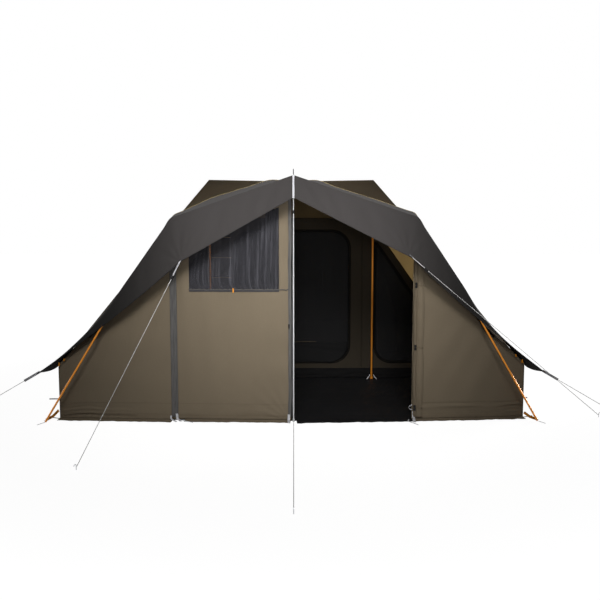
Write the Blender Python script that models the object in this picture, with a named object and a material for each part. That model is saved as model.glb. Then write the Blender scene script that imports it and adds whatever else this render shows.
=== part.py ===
"""A polycotton family tent with tipi-like slopes, made as its separate pieces.

An arch of orange tubes and a thin front pole carry the doorway, two main poles carry the roof, and
a grey protector sheet lies over the arch and runs out to a guyed tip on each side. X is to the right
of someone who faces the doorway, Y runs back into the tent, Z is up and the ground is Z = 0.
Depths below are counted from the line of the front wall; place() turns them into world places, whose
origin is the centre of the tent's footprint on the ground.
"""
import math

import bmesh
import bpy
import numpy as np
from mathutils import Vector

for thing in list(bpy.data.objects):
    bpy.data.objects.remove(thing, do_unlink=True)

# Thicknesses and clearances
FABRIC = 0.002
SHEET = 0.0025
WEBBING = 0.0015
SEAM = 0.0005
SEAT = 0.0003

# Plan and heights of the tent body
CORNER_HALF, CORNER_DEPTH = 2.29, 0.02
POST_HALF, POST_DEPTH = 1.165, -0.06
SIDE_HALF, SIDE_DEPTH = 2.52, 1.95
BACK_HALF, BACK_DEPTH = 1.78, 4.05
WALL_HEIGHT = 0.51
EAVE_HALF, EAVE_HEIGHT = 1.86, 0.90
POST_HEIGHT = 1.88
GABLE_HEIGHT = 2.30
PEAK_HALF, PEAK_DEPTH, PEAK_HEIGHT = {-1: 1.015, 1: 0.995}, 1.85, 2.475
RIDGE_SAG = 0.026

# Arch and front pole
ARCH_DEPTH = -0.13
TUBE_RADIUS = 0.0095
HUB_X, HUB_HEIGHT, HUB_RADIUS, HUB_LENGTH = 0.012, 2.342, 0.014, 0.07
HUB_ARM, HUB_ARM_RADIUS = 0.062, 0.0128
SHOULDER = {-1: (1.130, 1.947), 1: (1.178, 1.954)}
KNEE = {-1: (1.564, 1.345), 1: (1.611, 1.319)}
FOOT_HALF = 2.385
BEND_RADIUS, KNEE_RADIUS = 0.05, 0.25
SLEEVE_REACH, SLEEVE_WALL = 0.09, 0.0028
TUBE_GAP = 0.03
FRONT_POLE_RADIUS = 0.008
FRONT_FOOT_RADIUS, FRONT_FOOT_HEIGHT = 0.012, 0.03
SPIKE_RADIUS, SPIKE_ABOVE = 0.004, 0.058

# Main poles
MAIN_RADIUS, MAIN_JOINT_HEIGHT, MAIN_SPIGOT = 0.0125, 1.15, 0.06
MAIN_WALL = 0.0012
MAIN_FOOT_RADIUS, MAIN_FOOT_HEIGHT = 0.02, 0.035
MAIN_TIP_RADIUS, MAIN_TIP_HEIGHT = 0.003, 0.035
MAIN_TIP_DROP = 0.0047

# Door, window and covers
ZIP_GAP, CLOSING_GAP, SILL, TOP_GAP = 0.003, 0.012, 0.012, 0.004
DOOR_TOP_SIDE, DOOR_TOP_CENTRE = 1.76, 2.165
WINDOW_START, WINDOW_END, WINDOW_SILL = 0.176, 1.040, 1.277
WINDOW_MARGIN = 0.055
NET = 0.001
COVER_LEFT, COVER_RIGHT, COVER_FOOT = 0.012, 0.055, 0.035
FLAP_WIDTH, FLAP_PAST, FLAP_FOOT = 0.036, 0.004, 0.045
SLIDER_WIDTH, SLIDER_THICK, SLIDER_LENGTH, SLIDER_HEIGHT = 0.016, 0.005, 0.05, 0.95
ROLL_START, ROLL_WIDTH = 0.003, 0.112
ROLL_LOBES, ROLL_VALLEY, ROLL_STEPS = ((0.32, 0.026), (1.0, 0.034)), 0.45, 9
ROLL_TIES, TIED_SHARE, TOP_SHARE = (0.12, 0.715, 1.32), 0.86, 0.9

# Sleeping compartment
INNER_DEPTH, INNER_TOP_HALF, INNER_TOP = 1.93, 0.955, 2.015
INNER_HALF, INNER_EAVE = 2.03, 0.50
INNER_BACK_HALF, INNER_BACK_DEPTH = 1.62, 3.84
INNER_DOOR_HALF, INNER_DOOR_SILL, INNER_DOOR_TOP = 0.715, 0.204, 1.855
INNER_DOOR_RADIUS = 0.22
SIDE_DOOR_START, SIDE_DOOR_END, SIDE_DOOR_TOP = 1.035, 1.78, 1.70
SIDE_DOOR_MARGIN, SIDE_DOOR_RADIUS = 0.10, 0.006
GROUNDSHEET = 0.003
POCKET_LEFT, POCKET_RIGHT = -1.005, -0.765
POCKET_FOOT, POCKET_TOP, POCKET_THICK = 1.03, 1.78, 0.012
POCKET_ROWS = 3

# Protector sheet
CREST_LIFT = 0.0168
HOOD_REACH, HOOD_DROP = 0.33, 0.202
HOOD_CORNER_DEPTH = -0.30
HOOD_CORNER_IN, HOOD_CORNER_DROP = {-1: 0.095, 1: 0.073}, {-1: 0.395, 1: 0.366}
TRAIL_DEPTH, TRAIL_LIFT, TRAIL_LIFT_SIDE, TRAIL_LIFT_WING = 0.30, 0.008, 0.055, 0.014
TRAIL_CORNER_OUT, TRAIL_CORNER_RISE = {-1: 0.054, 1: 0.056}, {-1: 0.054, 1: 0.067}
TRAIL_RISE_START, TRAIL_RISE_END = 0.1, 0.68
TIP_HALF, TIP_HEIGHT, TIP_DEPTH, TIP_WIDTH = 2.49, 0.456, 0.0, 0.05
TIP_SAG, FRONT_SAG = {-1: (0.093, 0.4), 1: (0.100, 1.0)}, 0.038
CREST_ROUND = 0.03
WING_STATIONS = ((0.0, 0.0, 1.0), (0.05, 0.16, 1.0), (0.12, 0.42, 1.0), (0.21, 0.7, 1.0), (0.31, 1.0, 0.96),
                 (0.43, 1.2, 0.85), (0.56, 1.42, 0.66), (0.69, 1.62, 0.42), (0.82, 1.8, 0.0),
                 (0.91, 1.9, 0.0), (1.0, 2.0, 0.0))
TRAIL_JOINS_TIP = 0.82
TRAIL_NEAR_TIP = {TRAIL_JOINS_TIP: (0.155, 0.055, 0.036), 0.91: (0.08, 0.045, 0.008), 1.0: (0, 0.025, -0.002)}
HOOD_SHARES = (0, 0.06, 0.17, 0.36, 0.52, 0.68, 0.84, 0.93)
STRAP_WIDTH, STRAP_PAST, STRAP_BEHIND = 0.018, 0.010, 0.022

# Guylines, runners and pegs
LINE_RADIUS = 0.0025
PEG_RADIUS, PEG_SHAFT, PEG_HOOK = 0.0035, 0.034, 0.012
RUNNER_LENGTH, RUNNER_WIDTH, RUNNER_THICK, RUNNER_BORE = 0.040, 0.018, 0.008, 0.0029
RUNNER_FROM_TOP = 0.16
PEG_CENTRE = (0.008, -2.34)
PEG_LEFT = (-1.66, -1.485)
PEG_RIGHT = (3.04, 0.0)
PEG_TIP_HALF = 3.24
FOOT_STRAP_WIDTH = 0.020

FRONTMOST = -HOOD_REACH - STRAP_PAST
FRONT_LINE = -(BACK_DEPTH + FABRIC / 2 + FRONTMOST) / 2
TUBE_SIDES = 14


def place(x, depth, z):
    return Vector((x, depth + FRONT_LINE, z))


def material(name, colour, roughness, metallic=0.0):
    made = bpy.data.materials.new(name)
    made.use_nodes = True
    shader = made.node_tree.nodes["Principled BSDF"]
    shader.inputs["Base Color"].default_value = (*colour, 1)
    shader.inputs["Roughness"].default_value = roughness
    shader.inputs["Metallic"].default_value = metallic
    return made


COTTON = material("brown polycotton", (0.165, 0.135, 0.098), 0.9)
GREY = material("grey coated polyester", (0.062, 0.058, 0.056), 0.7)
INNER = material("dark brown inner fabric", (0.035, 0.028, 0.02), 0.95)
BLACK = material("black mesh", (0.012, 0.012, 0.014), 0.9)
WINDOW = material("charcoal window mesh", (0.045, 0.045, 0.05), 0.8)
FLOOR = material("black groundsheet", (0.02, 0.02, 0.022), 0.6)
ORANGE = material("orange anodised aluminium", (0.75, 0.30, 0.05), 0.35, 0.8)
SILVER = material("steel", (0.6, 0.6, 0.62), 0.3, 0.9)
WHITE = material("light grey webbing", (0.65, 0.65, 0.68), 0.85)
PLASTIC = material("black plastic", (0.02, 0.02, 0.02), 0.5)


def add(name, verts, faces, finish, smooth=False):
    mesh = bpy.data.meshes.new(name)
    mesh.from_pydata([tuple(v) for v in verts], [], [tuple(f) for f in faces])
    mesh.materials.append(finish)
    if smooth:
        mesh.shade_smooth()
        mesh.set_sharp_from_angle(angle=math.radians(40))
    made = bpy.data.objects.new(name, mesh)
    bpy.context.scene.collection.objects.link(made)
    return made


def guide(thing):
    """Marks an object as a cutter or a join, not as a piece."""
    thing.hide_render = True
    thing.display_type = "WIRE"
    return thing


def boolean(thing, other, operation):
    modifier = thing.modifiers.new(operation.lower(), "BOOLEAN")
    modifier.operation = operation
    modifier.object = guide(other)


def prism(name, outline, thickness, finish):
    """A flat panel whose middle plane holds the outline, counter-clockwise from outside."""
    points = [Vector(p) for p in outline]
    normal = Vector((0, 0, 0))
    for here, after in zip(points, points[1:] + points[:1]):
        normal += (here - points[0]).cross(after - points[0])
    step = normal.normalized() * thickness / 2
    n = len(points)
    faces = [tuple(range(n)), tuple(range(2 * n - 1, n - 1, -1))]
    faces += [(i, n + i, n + (i + 1) % n, (i + 1) % n) for i in range(n)]
    return add(name, [p + step for p in points] + [p - step for p in points], faces, finish)


def ring_frames(path):
    """Two directions across the path at each of its points, turned as little as possible."""
    tangents = [(b - a).normalized() for a, b in zip(path, path[1:])]
    across = tangents[0].orthogonal().normalized()
    frames = []
    for i in range(len(path)):
        before, after = tangents[max(i - 1, 0)], tangents[min(i, len(tangents) - 1)]
        tangent = (before + after).normalized()
        across = (across - tangent * across.dot(tangent)).normalized()
        stretch = 1 / max(before.dot(tangent), 0.5)
        other = tangent.cross(across)
        bend = after - before
        frames.append((across, other, bend.normalized() if bend.length > 1e-6 else None, stretch))
    return frames


def sweep(name, path, radius, finish, bore=None, sides=TUBE_SIDES):
    """A round bar along a path, or a pipe when bore gives its inner radius."""
    path = [Vector(p) for p in path]
    frames = ring_frames(path)
    verts, faces = [], []

    def rings(size):
        first = len(verts)
        for point, (across, other, bend, stretch) in zip(path, frames):
            for k in range(sides):
                turn = 2 * math.pi * k / sides
                offset = (across * math.cos(turn) + other * math.sin(turn)) * size
                if bend:
                    offset += bend * offset.dot(bend) * (stretch - 1)
                verts.append(point + offset)
        return first

    def wall(first, inward):
        for j in range(len(path) - 1):
            for k in range(sides):
                low, next_k = first + j * sides, (k + 1) % sides
                quad = (low + k, low + next_k, low + sides + next_k, low + sides + k)
                faces.append(quad[::-1] if inward else quad)

    outer = rings(radius)
    wall(outer, False)
    last = (len(path) - 1) * sides
    if bore is None:
        faces.append(tuple(range(outer + sides - 1, outer - 1, -1)))
        faces.append(tuple(range(outer + last, outer + last + sides)))
    else:
        inner = rings(bore)
        wall(inner, True)
        for k in range(sides):
            n = (k + 1) % sides
            faces.append((outer + n, outer + k, inner + k, inner + n))
            faces.append((outer + last + k, outer + last + n, inner + last + n, inner + last + k))
    return add(name, verts, faces, finish, smooth=True)


def turned(name, profile, centre, finish, sides=TUBE_SIDES):
    """A turned piece. The profile's (radius, height) points run up its outside and end on the axis."""
    verts, faces, rows = [], [], []
    for radius, height in profile:
        if radius == 0:
            rows.append([len(verts)])
            verts.append(centre + Vector((0, 0, height)))
            continue
        rows.append(list(range(len(verts), len(verts) + sides)))
        for k in range(sides):
            turn = 2 * math.pi * k / sides
            verts.append(centre + Vector((radius * math.cos(turn), radius * math.sin(turn), height)))
    for low, high in zip(rows, rows[1:]):
        for k in range(sides):
            n = (k + 1) % sides
            if len(low) == 1:
                faces.append((low[0], high[n], high[k]))
            elif len(high) == 1:
                faces.append((low[k], low[n], high[0]))
            else:
                faces.append((low[k], low[n], high[n], high[k]))
    return add(name, verts, faces, finish, smooth=True)


def cord(name, points, radius, finish=WHITE):
    """A guyline: a thin tube along its points."""
    curve = bpy.data.curves.new(name, "CURVE")
    curve.dimensions = "3D"
    curve.bevel_depth = radius
    curve.bevel_resolution = 2
    curve.use_fill_caps = True
    spline = curve.splines.new("POLY")
    spline.points.add(len(points) - 1)
    for spot, point in zip(spline.points, points):
        spot.co = (*point, 1)
    curve.materials.append(finish)
    made = bpy.data.objects.new(name, curve)
    bpy.context.scene.collection.objects.link(made)
    return made


def rounded_bend(before, corner, after, radius, steps):
    """The points of an arc that rounds a corner of a path."""
    into, out = (corner - before).normalized(), (after - corner).normalized()
    turn = into.angle(out)
    cut = radius * math.tan(turn / 2)
    centre = corner + (out - into).normalized() * radius / math.cos(turn / 2)
    first = corner - into * cut - centre
    axis = into.cross(out).normalized()
    points = []
    for i in range(steps + 1):
        swung = first.copy()
        part = turn * i / steps
        swung = first * math.cos(part) + axis.cross(first) * math.sin(part)
        points.append(centre + swung)
    return points


# The tent body: its corners, and the panels sewn between them

LEFT, RIGHT = -1, 1
gable_depth = ARCH_DEPTH + HUB_RADIUS * math.cos(math.pi / TUBE_SIDES) + SEAT + FABRIC / 2


def front_depth(x):
    """The depth of the front wall's side panels, which run straight from corner to door post."""
    share = (CORNER_HALF - abs(x)) / (CORNER_HALF - POST_HALF)
    return CORNER_DEPTH + (POST_DEPTH - CORNER_DEPTH) * share


CORNERS = {
    "gable": (0, gable_depth, GABLE_HEIGHT),
    "lintel": (0, gable_depth, DOOR_TOP_CENTRE),
    "ridge": (0, PEAK_DEPTH, PEAK_HEIGHT - RIDGE_SAG),
}
for side in (LEFT, RIGHT):
    CORNERS.update({
        ("corner", side, 0): (side * CORNER_HALF, CORNER_DEPTH, 0),
        ("corner", side): (side * CORNER_HALF, CORNER_DEPTH, WALL_HEIGHT),
        ("post", side, 0): (side * POST_HALF, POST_DEPTH, 0),
        ("post", side): (side * POST_HALF, POST_DEPTH, POST_HEIGHT),
        ("lintel", side): (side * POST_HALF, POST_DEPTH, DOOR_TOP_SIDE),
        ("eave", side): (side * EAVE_HALF, front_depth(EAVE_HALF), EAVE_HEIGHT),
        ("side", side, 0): (side * SIDE_HALF, SIDE_DEPTH, 0),
        ("side", side): (side * SIDE_HALF, SIDE_DEPTH, WALL_HEIGHT),
        ("back", side, 0): (side * BACK_HALF, BACK_DEPTH, 0),
        ("back", side): (side * BACK_HALF, BACK_DEPTH, WALL_HEIGHT),
        ("peak", side): (side * PEAK_HALF[side], PEAK_DEPTH, PEAK_HEIGHT),
    })
CORNERS = {key: place(*where) for key, where in CORNERS.items()}


def mirrored(faces):
    """The same faces on the right-hand side, still counter-clockwise from outside."""
    swap = [tuple((c[0], -c[1], *c[2:]) if isinstance(c, tuple) else c for c in f) for f in faces]
    return [f[::-1] for f in swap]


def left(name, *more):
    return (name, LEFT, *more)


LEFT_PANELS = {
    "front_panel": [(left("corner", 0), left("post", 0), left("post"), left("eave"), left("corner"))],
    "roof": [
        (left("post"), left("peak"), left("eave")),
        (left("eave"), left("peak"), left("corner")),
        (left("corner"), left("peak"), left("side")),
    ],
    "roof_back": [(left("peak"), left("back"), left("side"))],
    "wall_front": [(left("corner", 0), left("corner"), left("side"), left("side", 0))],
    "wall_back": [(left("side", 0), left("side"), left("back"), left("back", 0))],
}
gable_half = [(left("lintel"), "lintel", "gable", left("post"))]
front_half = [(left("post"), "gable", left("peak")), ("gable", "ridge", left("peak"))]
rear_half = [(left("peak"), "ridge", left("back"))]
rear_middle = [("ridge", ("back", RIGHT), left("back"))]
rear_wall = [(left("back", 0), left("back"), ("back", RIGHT), ("back", RIGHT, 0))]
PANELS = {
    "door_gable": gable_half + mirrored(gable_half),
    "roof_front": front_half + mirrored(front_half),
    "roof_rear": rear_half + rear_middle + mirrored(rear_half),
    "wall_rear": rear_wall,
}
for label, faces in LEFT_PANELS.items():
    PANELS[label + "_left"] = faces
    PANELS[label + "_right"] = mirrored(faces)


def face_normal(face, spots):
    points = [spots[key] for key in face]
    normal = Vector((0, 0, 0))
    for here, after in zip(points, points[1:] + points[:1]):
        normal += (here - points[0]).cross(after - points[0])
    return normal.normalized()


def face_edges(face):
    return list(zip(face, face[1:] + face[:1]))


def sewn_panel(name, family, spots, finish, thickness=FABRIC):
    """A panel of one or more flat faces, drawn back from each neighbour by half a seam."""
    faces = family[name]
    inner_edges = {frozenset(e) for f in faces for e in face_edges(f)}
    counts = {e: sum(frozenset(x) == e for f in faces for x in face_edges(f)) for e in inner_edges}
    pulls = {}
    for face in faces:
        normal = face_normal(face, spots)
        for a, b in face_edges(face):
            if counts[frozenset((a, b))] > 1:
                continue
            inward = normal.cross(spots[b] - spots[a]).normalized()
            turns = [
                normal.angle(face_normal(other, spots))
                for label, others in family.items() if label != name
                for other in others if {a, b} <= set(other)
            ]
            on_ground = spots[a].z == 0 and spots[b].z == 0
            inset = thickness / 2 * math.tan(turns[0] / 2) + SEAM / 2 if turns else SEAM / 2
            for key in (a, b):
                pulls.setdefault(key, []).append((inward, 0 if on_ground else inset))
    keys = sorted({key for face in faces for key in face}, key=str)
    verts = []
    for key in keys:
        spot = spots[key].copy()
        folds = [e for e in inner_edges if counts[e] > 1 and key in e]
        if key in pulls:
            (one, by_one), (two, by_two) = pulls[key]
            cross = one.dot(two)
            if len(folds) == 1:
                (other,) = folds[0] - {key}
                fold = (spots[other] - spot).normalized()
                spot += fold * max(by_one / fold.dot(one), by_two / fold.dot(two))
            elif abs(cross) > 0.999:
                spot += one * by_one
            else:
                share_one = (by_one - cross * by_two) / (1 - cross * cross)
                share_two = (by_two - cross * by_one) / (1 - cross * cross)
                spot += one * share_one + two * share_two
        verts.append(spot)
    made = add(name, verts, [[keys.index(k) for k in f] for f in faces], finish)
    solid = made.modifiers.new("thickness", "SOLIDIFY")
    solid.thickness = thickness
    solid.offset = 0
    solid.use_even_offset = True
    return made


for label in PANELS:
    sewn_panel(label, PANELS, CORNERS, COTTON)


def roof_height(x, depth):
    """The height of the roof over a place in plan, or 0 outside it."""
    spot = place(x, depth, 0)
    for name in PANELS:
        if not name.startswith("roof"):
            continue
        for face in PANELS[name]:
            a, b, c = (CORNERS[key] for key in face)
            normal = (b - a).cross(c - a)
            sides = [(q - p).cross(spot - p).z for p, q in ((a, b), (b, c), (c, a))]
            if min(sides) >= -1e-6:
                return a.z - (normal.x * (spot.x - a.x) + normal.y * (spot.y - a.y)) / normal.z
    return 0.0


# Groundsheet

def inset_outline(points, by):
    """A counter-clockwise outline in plan, drawn in by the same distance all round."""
    result = []
    for before, here, after in zip(points[-1:] + points[:-1], points, points[1:] + points[:1]):
        into, out = (here - before).normalized(), (after - here).normalized()
        bisector = Vector((-(into.y + out.y), into.x + out.x, 0)).normalized()
        result.append(here + bisector * by / bisector.dot(Vector((-into.y, into.x, 0))))
    return result


floor_outline = [CORNERS[("corner", LEFT, 0)], CORNERS[("post", LEFT, 0)], place(0, gable_depth, 0)]
floor_outline += [CORNERS[(key, RIGHT, 0)] for key in ("post", "corner", "side", "back")]
floor_outline += [CORNERS[(key, LEFT, 0)] for key in ("back", "side")]
floor_outline = inset_outline(floor_outline, FABRIC / 2 + SEAT)
prism("groundsheet", [p + Vector((0, 0, GROUNDSHEET / 2)) for p in floor_outline], GROUNDSHEET, FLOOR)
floor_top = GROUNDSHEET + SEAT

# Arch: legs bent at the knee, shoulder sleeves, top rails and the hub at the peak

hub = place(HUB_X, ARCH_DEPTH, HUB_HEIGHT)
shoulders = {s: place(s * SHOULDER[s][0], ARCH_DEPTH, SHOULDER[s][1]) for s in (LEFT, RIGHT)}
for side, word in ((LEFT, "left"), (RIGHT, "right")):
    shoulder = shoulders[side]
    knee = place(side * KNEE[side][0], ARCH_DEPTH, KNEE[side][1])
    foot = place(side * FOOT_HALF, ARCH_DEPTH, 0)
    rise = (knee - foot).normalized()
    tilt = math.sqrt(1 - rise.z ** 2)
    foot_end = foot + rise * TUBE_RADIUS * tilt / rise.z
    down, along = (knee - shoulder).normalized(), (hub - shoulder).normalized()
    leg = [foot_end, *rounded_bend(foot_end, knee, shoulder, KNEE_RADIUS, 4), shoulder + down * TUBE_GAP]
    sweep(f"side_leg_{word}", leg, TUBE_RADIUS, ORANGE)
    rail = [shoulder + along * TUBE_GAP, hub - along * (HUB_RADIUS + SPIKE_RADIUS)]
    sweep(f"top_rail_{word}", rail, TUBE_RADIUS, ORANGE)
    reach = [shoulder + down * SLEEVE_REACH, shoulder + along * SLEEVE_REACH]
    bend = rounded_bend(reach[0], shoulder, reach[1], BEND_RADIUS, 5)
    sleeve_bore = TUBE_RADIUS + SEAT
    sweep(f"shoulder_sleeve_{word}", [reach[0], *bend, reach[1]], sleeve_bore + SLEEVE_WALL, ORANGE,
          bore=sleeve_bore)

sheet_top = HUB_HEIGHT + CREST_LIFT + SHEET / 2
dome = [(HUB_RADIUS * math.cos(math.radians(a)), HUB_RADIUS * math.sin(math.radians(a)))
        for a in (0, 20, 40, 60)]
peak_hub = turned("peak_hub", [
    (0, -HUB_LENGTH), (HUB_RADIUS, -HUB_LENGTH), *dome, (SPIKE_RADIUS, HUB_RADIUS),
    (SPIKE_RADIUS, sheet_top + SPIKE_ABOVE - HUB_HEIGHT - 0.006),
    (0, sheet_top + SPIKE_ABOVE - HUB_HEIGHT),
], hub, PLASTIC)
for side, word in ((LEFT, "left"), (RIGHT, "right")):
    out = (shoulders[side] - hub).normalized()
    arm = sweep(f"hub_arm_{word}", [hub, hub + out * HUB_ARM], HUB_ARM_RADIUS, PLASTIC)
    boolean(peak_hub, arm, "UNION")
for side, word in ((LEFT, "left"), (RIGHT, "right")):
    out = (shoulders[side] - hub).normalized()
    socket = [hub + out * (HUB_RADIUS + SPIKE_RADIUS - SEAT), hub + out * 2 * HUB_ARM]
    boolean(peak_hub, sweep(f"arm_bore_{word}", socket, TUBE_RADIUS + SEAT, PLASTIC), "DIFFERENCE")
pole_top = HUB_HEIGHT - 2 * HUB_RADIUS
pole_bore = sweep("pole_bore", [place(HUB_X, ARCH_DEPTH, pole_top + SEAT), place(HUB_X, ARCH_DEPTH, 1)],
                  FRONT_POLE_RADIUS + SEAT, PLASTIC)
boolean(peak_hub, pole_bore, "DIFFERENCE")
turned("front_pole", [
    (0, 0), (FRONT_FOOT_RADIUS, 0), (FRONT_FOOT_RADIUS, FRONT_FOOT_HEIGHT),
    (FRONT_POLE_RADIUS, FRONT_FOOT_HEIGHT + 0.003), (FRONT_POLE_RADIUS, pole_top), (0, pole_top),
], place(HUB_X, ARCH_DEPTH, 0), SILVER)

# Main poles: a lower tube with a foot, and an upper tube that plugs into it and ends in a tip

for side, word in ((LEFT, "left"), (RIGHT, "right")):
    centre = place(side * PEAK_HALF[side], PEAK_DEPTH, 0)
    bore = MAIN_RADIUS - MAIN_WALL
    turned(f"main_pole_lower_{word}", [
        (0, floor_top), (MAIN_FOOT_RADIUS, floor_top), (MAIN_FOOT_RADIUS, MAIN_FOOT_HEIGHT - 0.008),
        (MAIN_RADIUS, MAIN_FOOT_HEIGHT), (MAIN_RADIUS, MAIN_JOINT_HEIGHT), (bore, MAIN_JOINT_HEIGHT),
        (bore, MAIN_JOINT_HEIGHT - MAIN_SPIGOT), (0, MAIN_JOINT_HEIGHT - MAIN_SPIGOT),
    ], centre, ORANGE)
    spigot = bore - SEAT
    tip = PEAK_HEIGHT - FABRIC / 2 - MAIN_TIP_DROP
    turned(f"main_pole_upper_{word}", [
        (0, MAIN_JOINT_HEIGHT - MAIN_SPIGOT + 2 * SEAT), (spigot, MAIN_JOINT_HEIGHT - MAIN_SPIGOT + 2 * SEAT),
        (spigot, MAIN_JOINT_HEIGHT + SEAT), (MAIN_RADIUS, MAIN_JOINT_HEIGHT + SEAT),
        (MAIN_RADIUS, tip - MAIN_TIP_HEIGHT), (MAIN_TIP_RADIUS, tip), (0, tip),
    ], centre, ORANGE)

# Doorway: the closed left leaf with its mesh window, its covers and slider, and the rolled right leaf

hinge_foot, middle_foot = CORNERS[("post", LEFT, 0)], place(0, gable_depth, 0)
door_along = (middle_foot - hinge_foot).normalized()
door_out = door_along.cross(Vector((0, 0, 1)))
door_length = (middle_foot - hinge_foot).length


def on_door(along, z, out=0.0):
    """A place on the left leaf's plane, counted from the hinge post, and out towards the front."""
    return hinge_foot + door_along * along + door_out * out + Vector((0, 0, z))


def lintel_height(along):
    return DOOR_TOP_SIDE + (DOOR_TOP_CENTRE - DOOR_TOP_SIDE) * along / door_length


def framed_panel(name, outer, inner, thickness, finish, normal):
    """A flat four-sided panel with a four-sided hole, both counter-clockwise from outside."""
    step = normal * thickness / 2
    rings = [[p + step for p in outer], [p + step for p in inner],
             [p - step for p in inner], [p - step for p in outer]]
    faces = []
    for low in range(4):
        high = (low + 1) % 4
        for k in range(4):
            n = (k + 1) % 4
            faces.append((low * 4 + k, low * 4 + n, high * 4 + n, high * 4 + k))
    return add(name, [p for ring in rings for p in ring], faces, finish)


leaf_end = door_length - CLOSING_GAP
leaf = [on_door(ZIP_GAP, SILL), on_door(leaf_end, SILL),
        on_door(leaf_end, lintel_height(leaf_end) - TOP_GAP),
        on_door(ZIP_GAP, lintel_height(ZIP_GAP) - TOP_GAP)]


def window(grow):
    """The window's corners, drawn in by a clearance."""
    start, end = WINDOW_START + grow, WINDOW_END - grow
    return [on_door(start, WINDOW_SILL + grow), on_door(end, WINDOW_SILL + grow),
            on_door(end, lintel_height(end) - WINDOW_MARGIN - grow),
            on_door(start, lintel_height(start) - WINDOW_MARGIN - grow)]


framed_panel("door_leaf_left", leaf, window(0), FABRIC, COTTON, door_out)
prism("door_window_net", window(SEAT), NET, WINDOW)

cover_out = FABRIC / 2 + SEAT + WEBBING / 2
prism("zip_cover_left", [
    on_door(-COVER_LEFT, COVER_FOOT, cover_out), on_door(COVER_RIGHT, COVER_FOOT, cover_out),
    on_door(COVER_RIGHT, DOOR_TOP_SIDE, cover_out), on_door(-COVER_LEFT, DOOR_TOP_SIDE, cover_out),
], WEBBING, GREY)
flap_end = door_length - FLAP_PAST
flap_start = flap_end - FLAP_WIDTH
prism("closing_flap", [
    on_door(flap_start, FLAP_FOOT, cover_out), on_door(flap_end, FLAP_FOOT, cover_out),
    on_door(flap_end, lintel_height(flap_end) - TOP_GAP, cover_out),
    on_door(flap_start, lintel_height(flap_start) - TOP_GAP, cover_out),
], WEBBING, GREY)
slider_out = cover_out + WEBBING / 2 + SEAT + SLIDER_THICK / 2
slider_middle = flap_start + SLIDER_WIDTH / 2 + SEAT
prism("door_zip_slider", [
    on_door(slider_middle - SLIDER_WIDTH / 2, SLIDER_HEIGHT, slider_out),
    on_door(slider_middle + SLIDER_WIDTH / 2, SLIDER_HEIGHT, slider_out),
    on_door(slider_middle + SLIDER_WIDTH / 2, SLIDER_HEIGHT - SLIDER_LENGTH / 2, slider_out),
    on_door(slider_middle + SLIDER_WIDTH / 4, SLIDER_HEIGHT - SLIDER_LENGTH, slider_out),
    on_door(slider_middle - SLIDER_WIDTH / 4, SLIDER_HEIGHT - SLIDER_LENGTH, slider_out),
    on_door(slider_middle - SLIDER_WIDTH / 2, SLIDER_HEIGHT - SLIDER_LENGTH / 2, slider_out),
][::-1], SLIDER_THICK, PLASTIC)

post = CORNERS[("post", RIGHT, 0)]
panel_along = (CORNERS[("corner", RIGHT, 0)] - post).normalized()
panel_out = panel_along.cross(Vector((0, 0, 1)))


def roll_section():
    """Points over the rolled leaf's lobes, as shares of its width and distances out from the panel."""
    points, start = [(0, 0)], 0
    for end, depth in ROLL_LOBES:
        for k in range(1, ROLL_STEPS):
            swell = math.sqrt(math.sin(math.pi * k / ROLL_STEPS))
            points.append((start + (end - start) * k / ROLL_STEPS,
                           depth * (ROLL_VALLEY + (1 - ROLL_VALLEY) * swell)))
        points.append((end, depth * ROLL_VALLEY if end < 1 else 0))
        start = end
    return points


roll_levels = [0.03, ROLL_TIES[0], 0.38, ROLL_TIES[1], 1.0, ROLL_TIES[2], 1.56, 1.74]
section = roll_section()
verts, faces = [], []
for z in roll_levels:
    size = TIED_SHARE if z in ROLL_TIES else TOP_SHARE if z == roll_levels[-1] else 1.0
    for share, out in section:
        along = ROLL_START + ROLL_WIDTH * (0.5 + (share - 0.5) * size)
        verts.append(post + panel_along * along + panel_out * (FABRIC / 2 + SEAT + out * size)
                     + Vector((0, 0, z)))
row = len(section)
for j in range(len(roll_levels) - 1):
    for k in range(row):
        n = (k + 1) % row
        faces.append((j * row + k, j * row + n, (j + 1) * row + n, (j + 1) * row + k))
faces.append(tuple(range(row - 1, -1, -1)))
faces.append(tuple(range((len(roll_levels) - 1) * row, len(roll_levels) * row)))
add("door_leaf_right_rolled", verts, faces, COTTON)

# Sleeping compartment behind the main poles

INNER_CORNERS = {}
for side in (LEFT, RIGHT):
    INNER_CORNERS.update({
        ("top", side): place(side * INNER_TOP_HALF, INNER_DEPTH, INNER_TOP),
        ("front", side): place(side * INNER_HALF, INNER_DEPTH, INNER_EAVE),
        ("front", side, 0): place(side * INNER_HALF, INNER_DEPTH, floor_top),
        ("rear", side): place(side * INNER_BACK_HALF, INNER_BACK_DEPTH, INNER_EAVE),
        ("rear", side, 0): place(side * INNER_BACK_HALF, INNER_BACK_DEPTH, floor_top),
    })
inner_side = [(left("front", 0), left("front"), left("rear"), left("rear", 0))]
inner_slope = [(left("top"), left("rear"), left("front"))]
INNER_PANELS = {
    "inner_front_wall": [(left("front", 0), ("front", RIGHT, 0), ("front", RIGHT), ("top", RIGHT),
                          left("top"), left("front"))],
    "inner_roof": inner_slope + [(left("top"), ("top", RIGHT), ("rear", RIGHT), left("rear"))]
    + mirrored(inner_slope),
    "inner_wall_left": inner_side,
    "inner_wall_right": mirrored(inner_side),
    "inner_wall_rear": [(left("rear", 0), left("rear"), ("rear", RIGHT), ("rear", RIGHT, 0))],
}
inner_walls = {label: sewn_panel(label, INNER_PANELS, INNER_CORNERS, INNER) for label in INNER_PANELS}
inner_front = inner_walls["inner_front_wall"]


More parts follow.
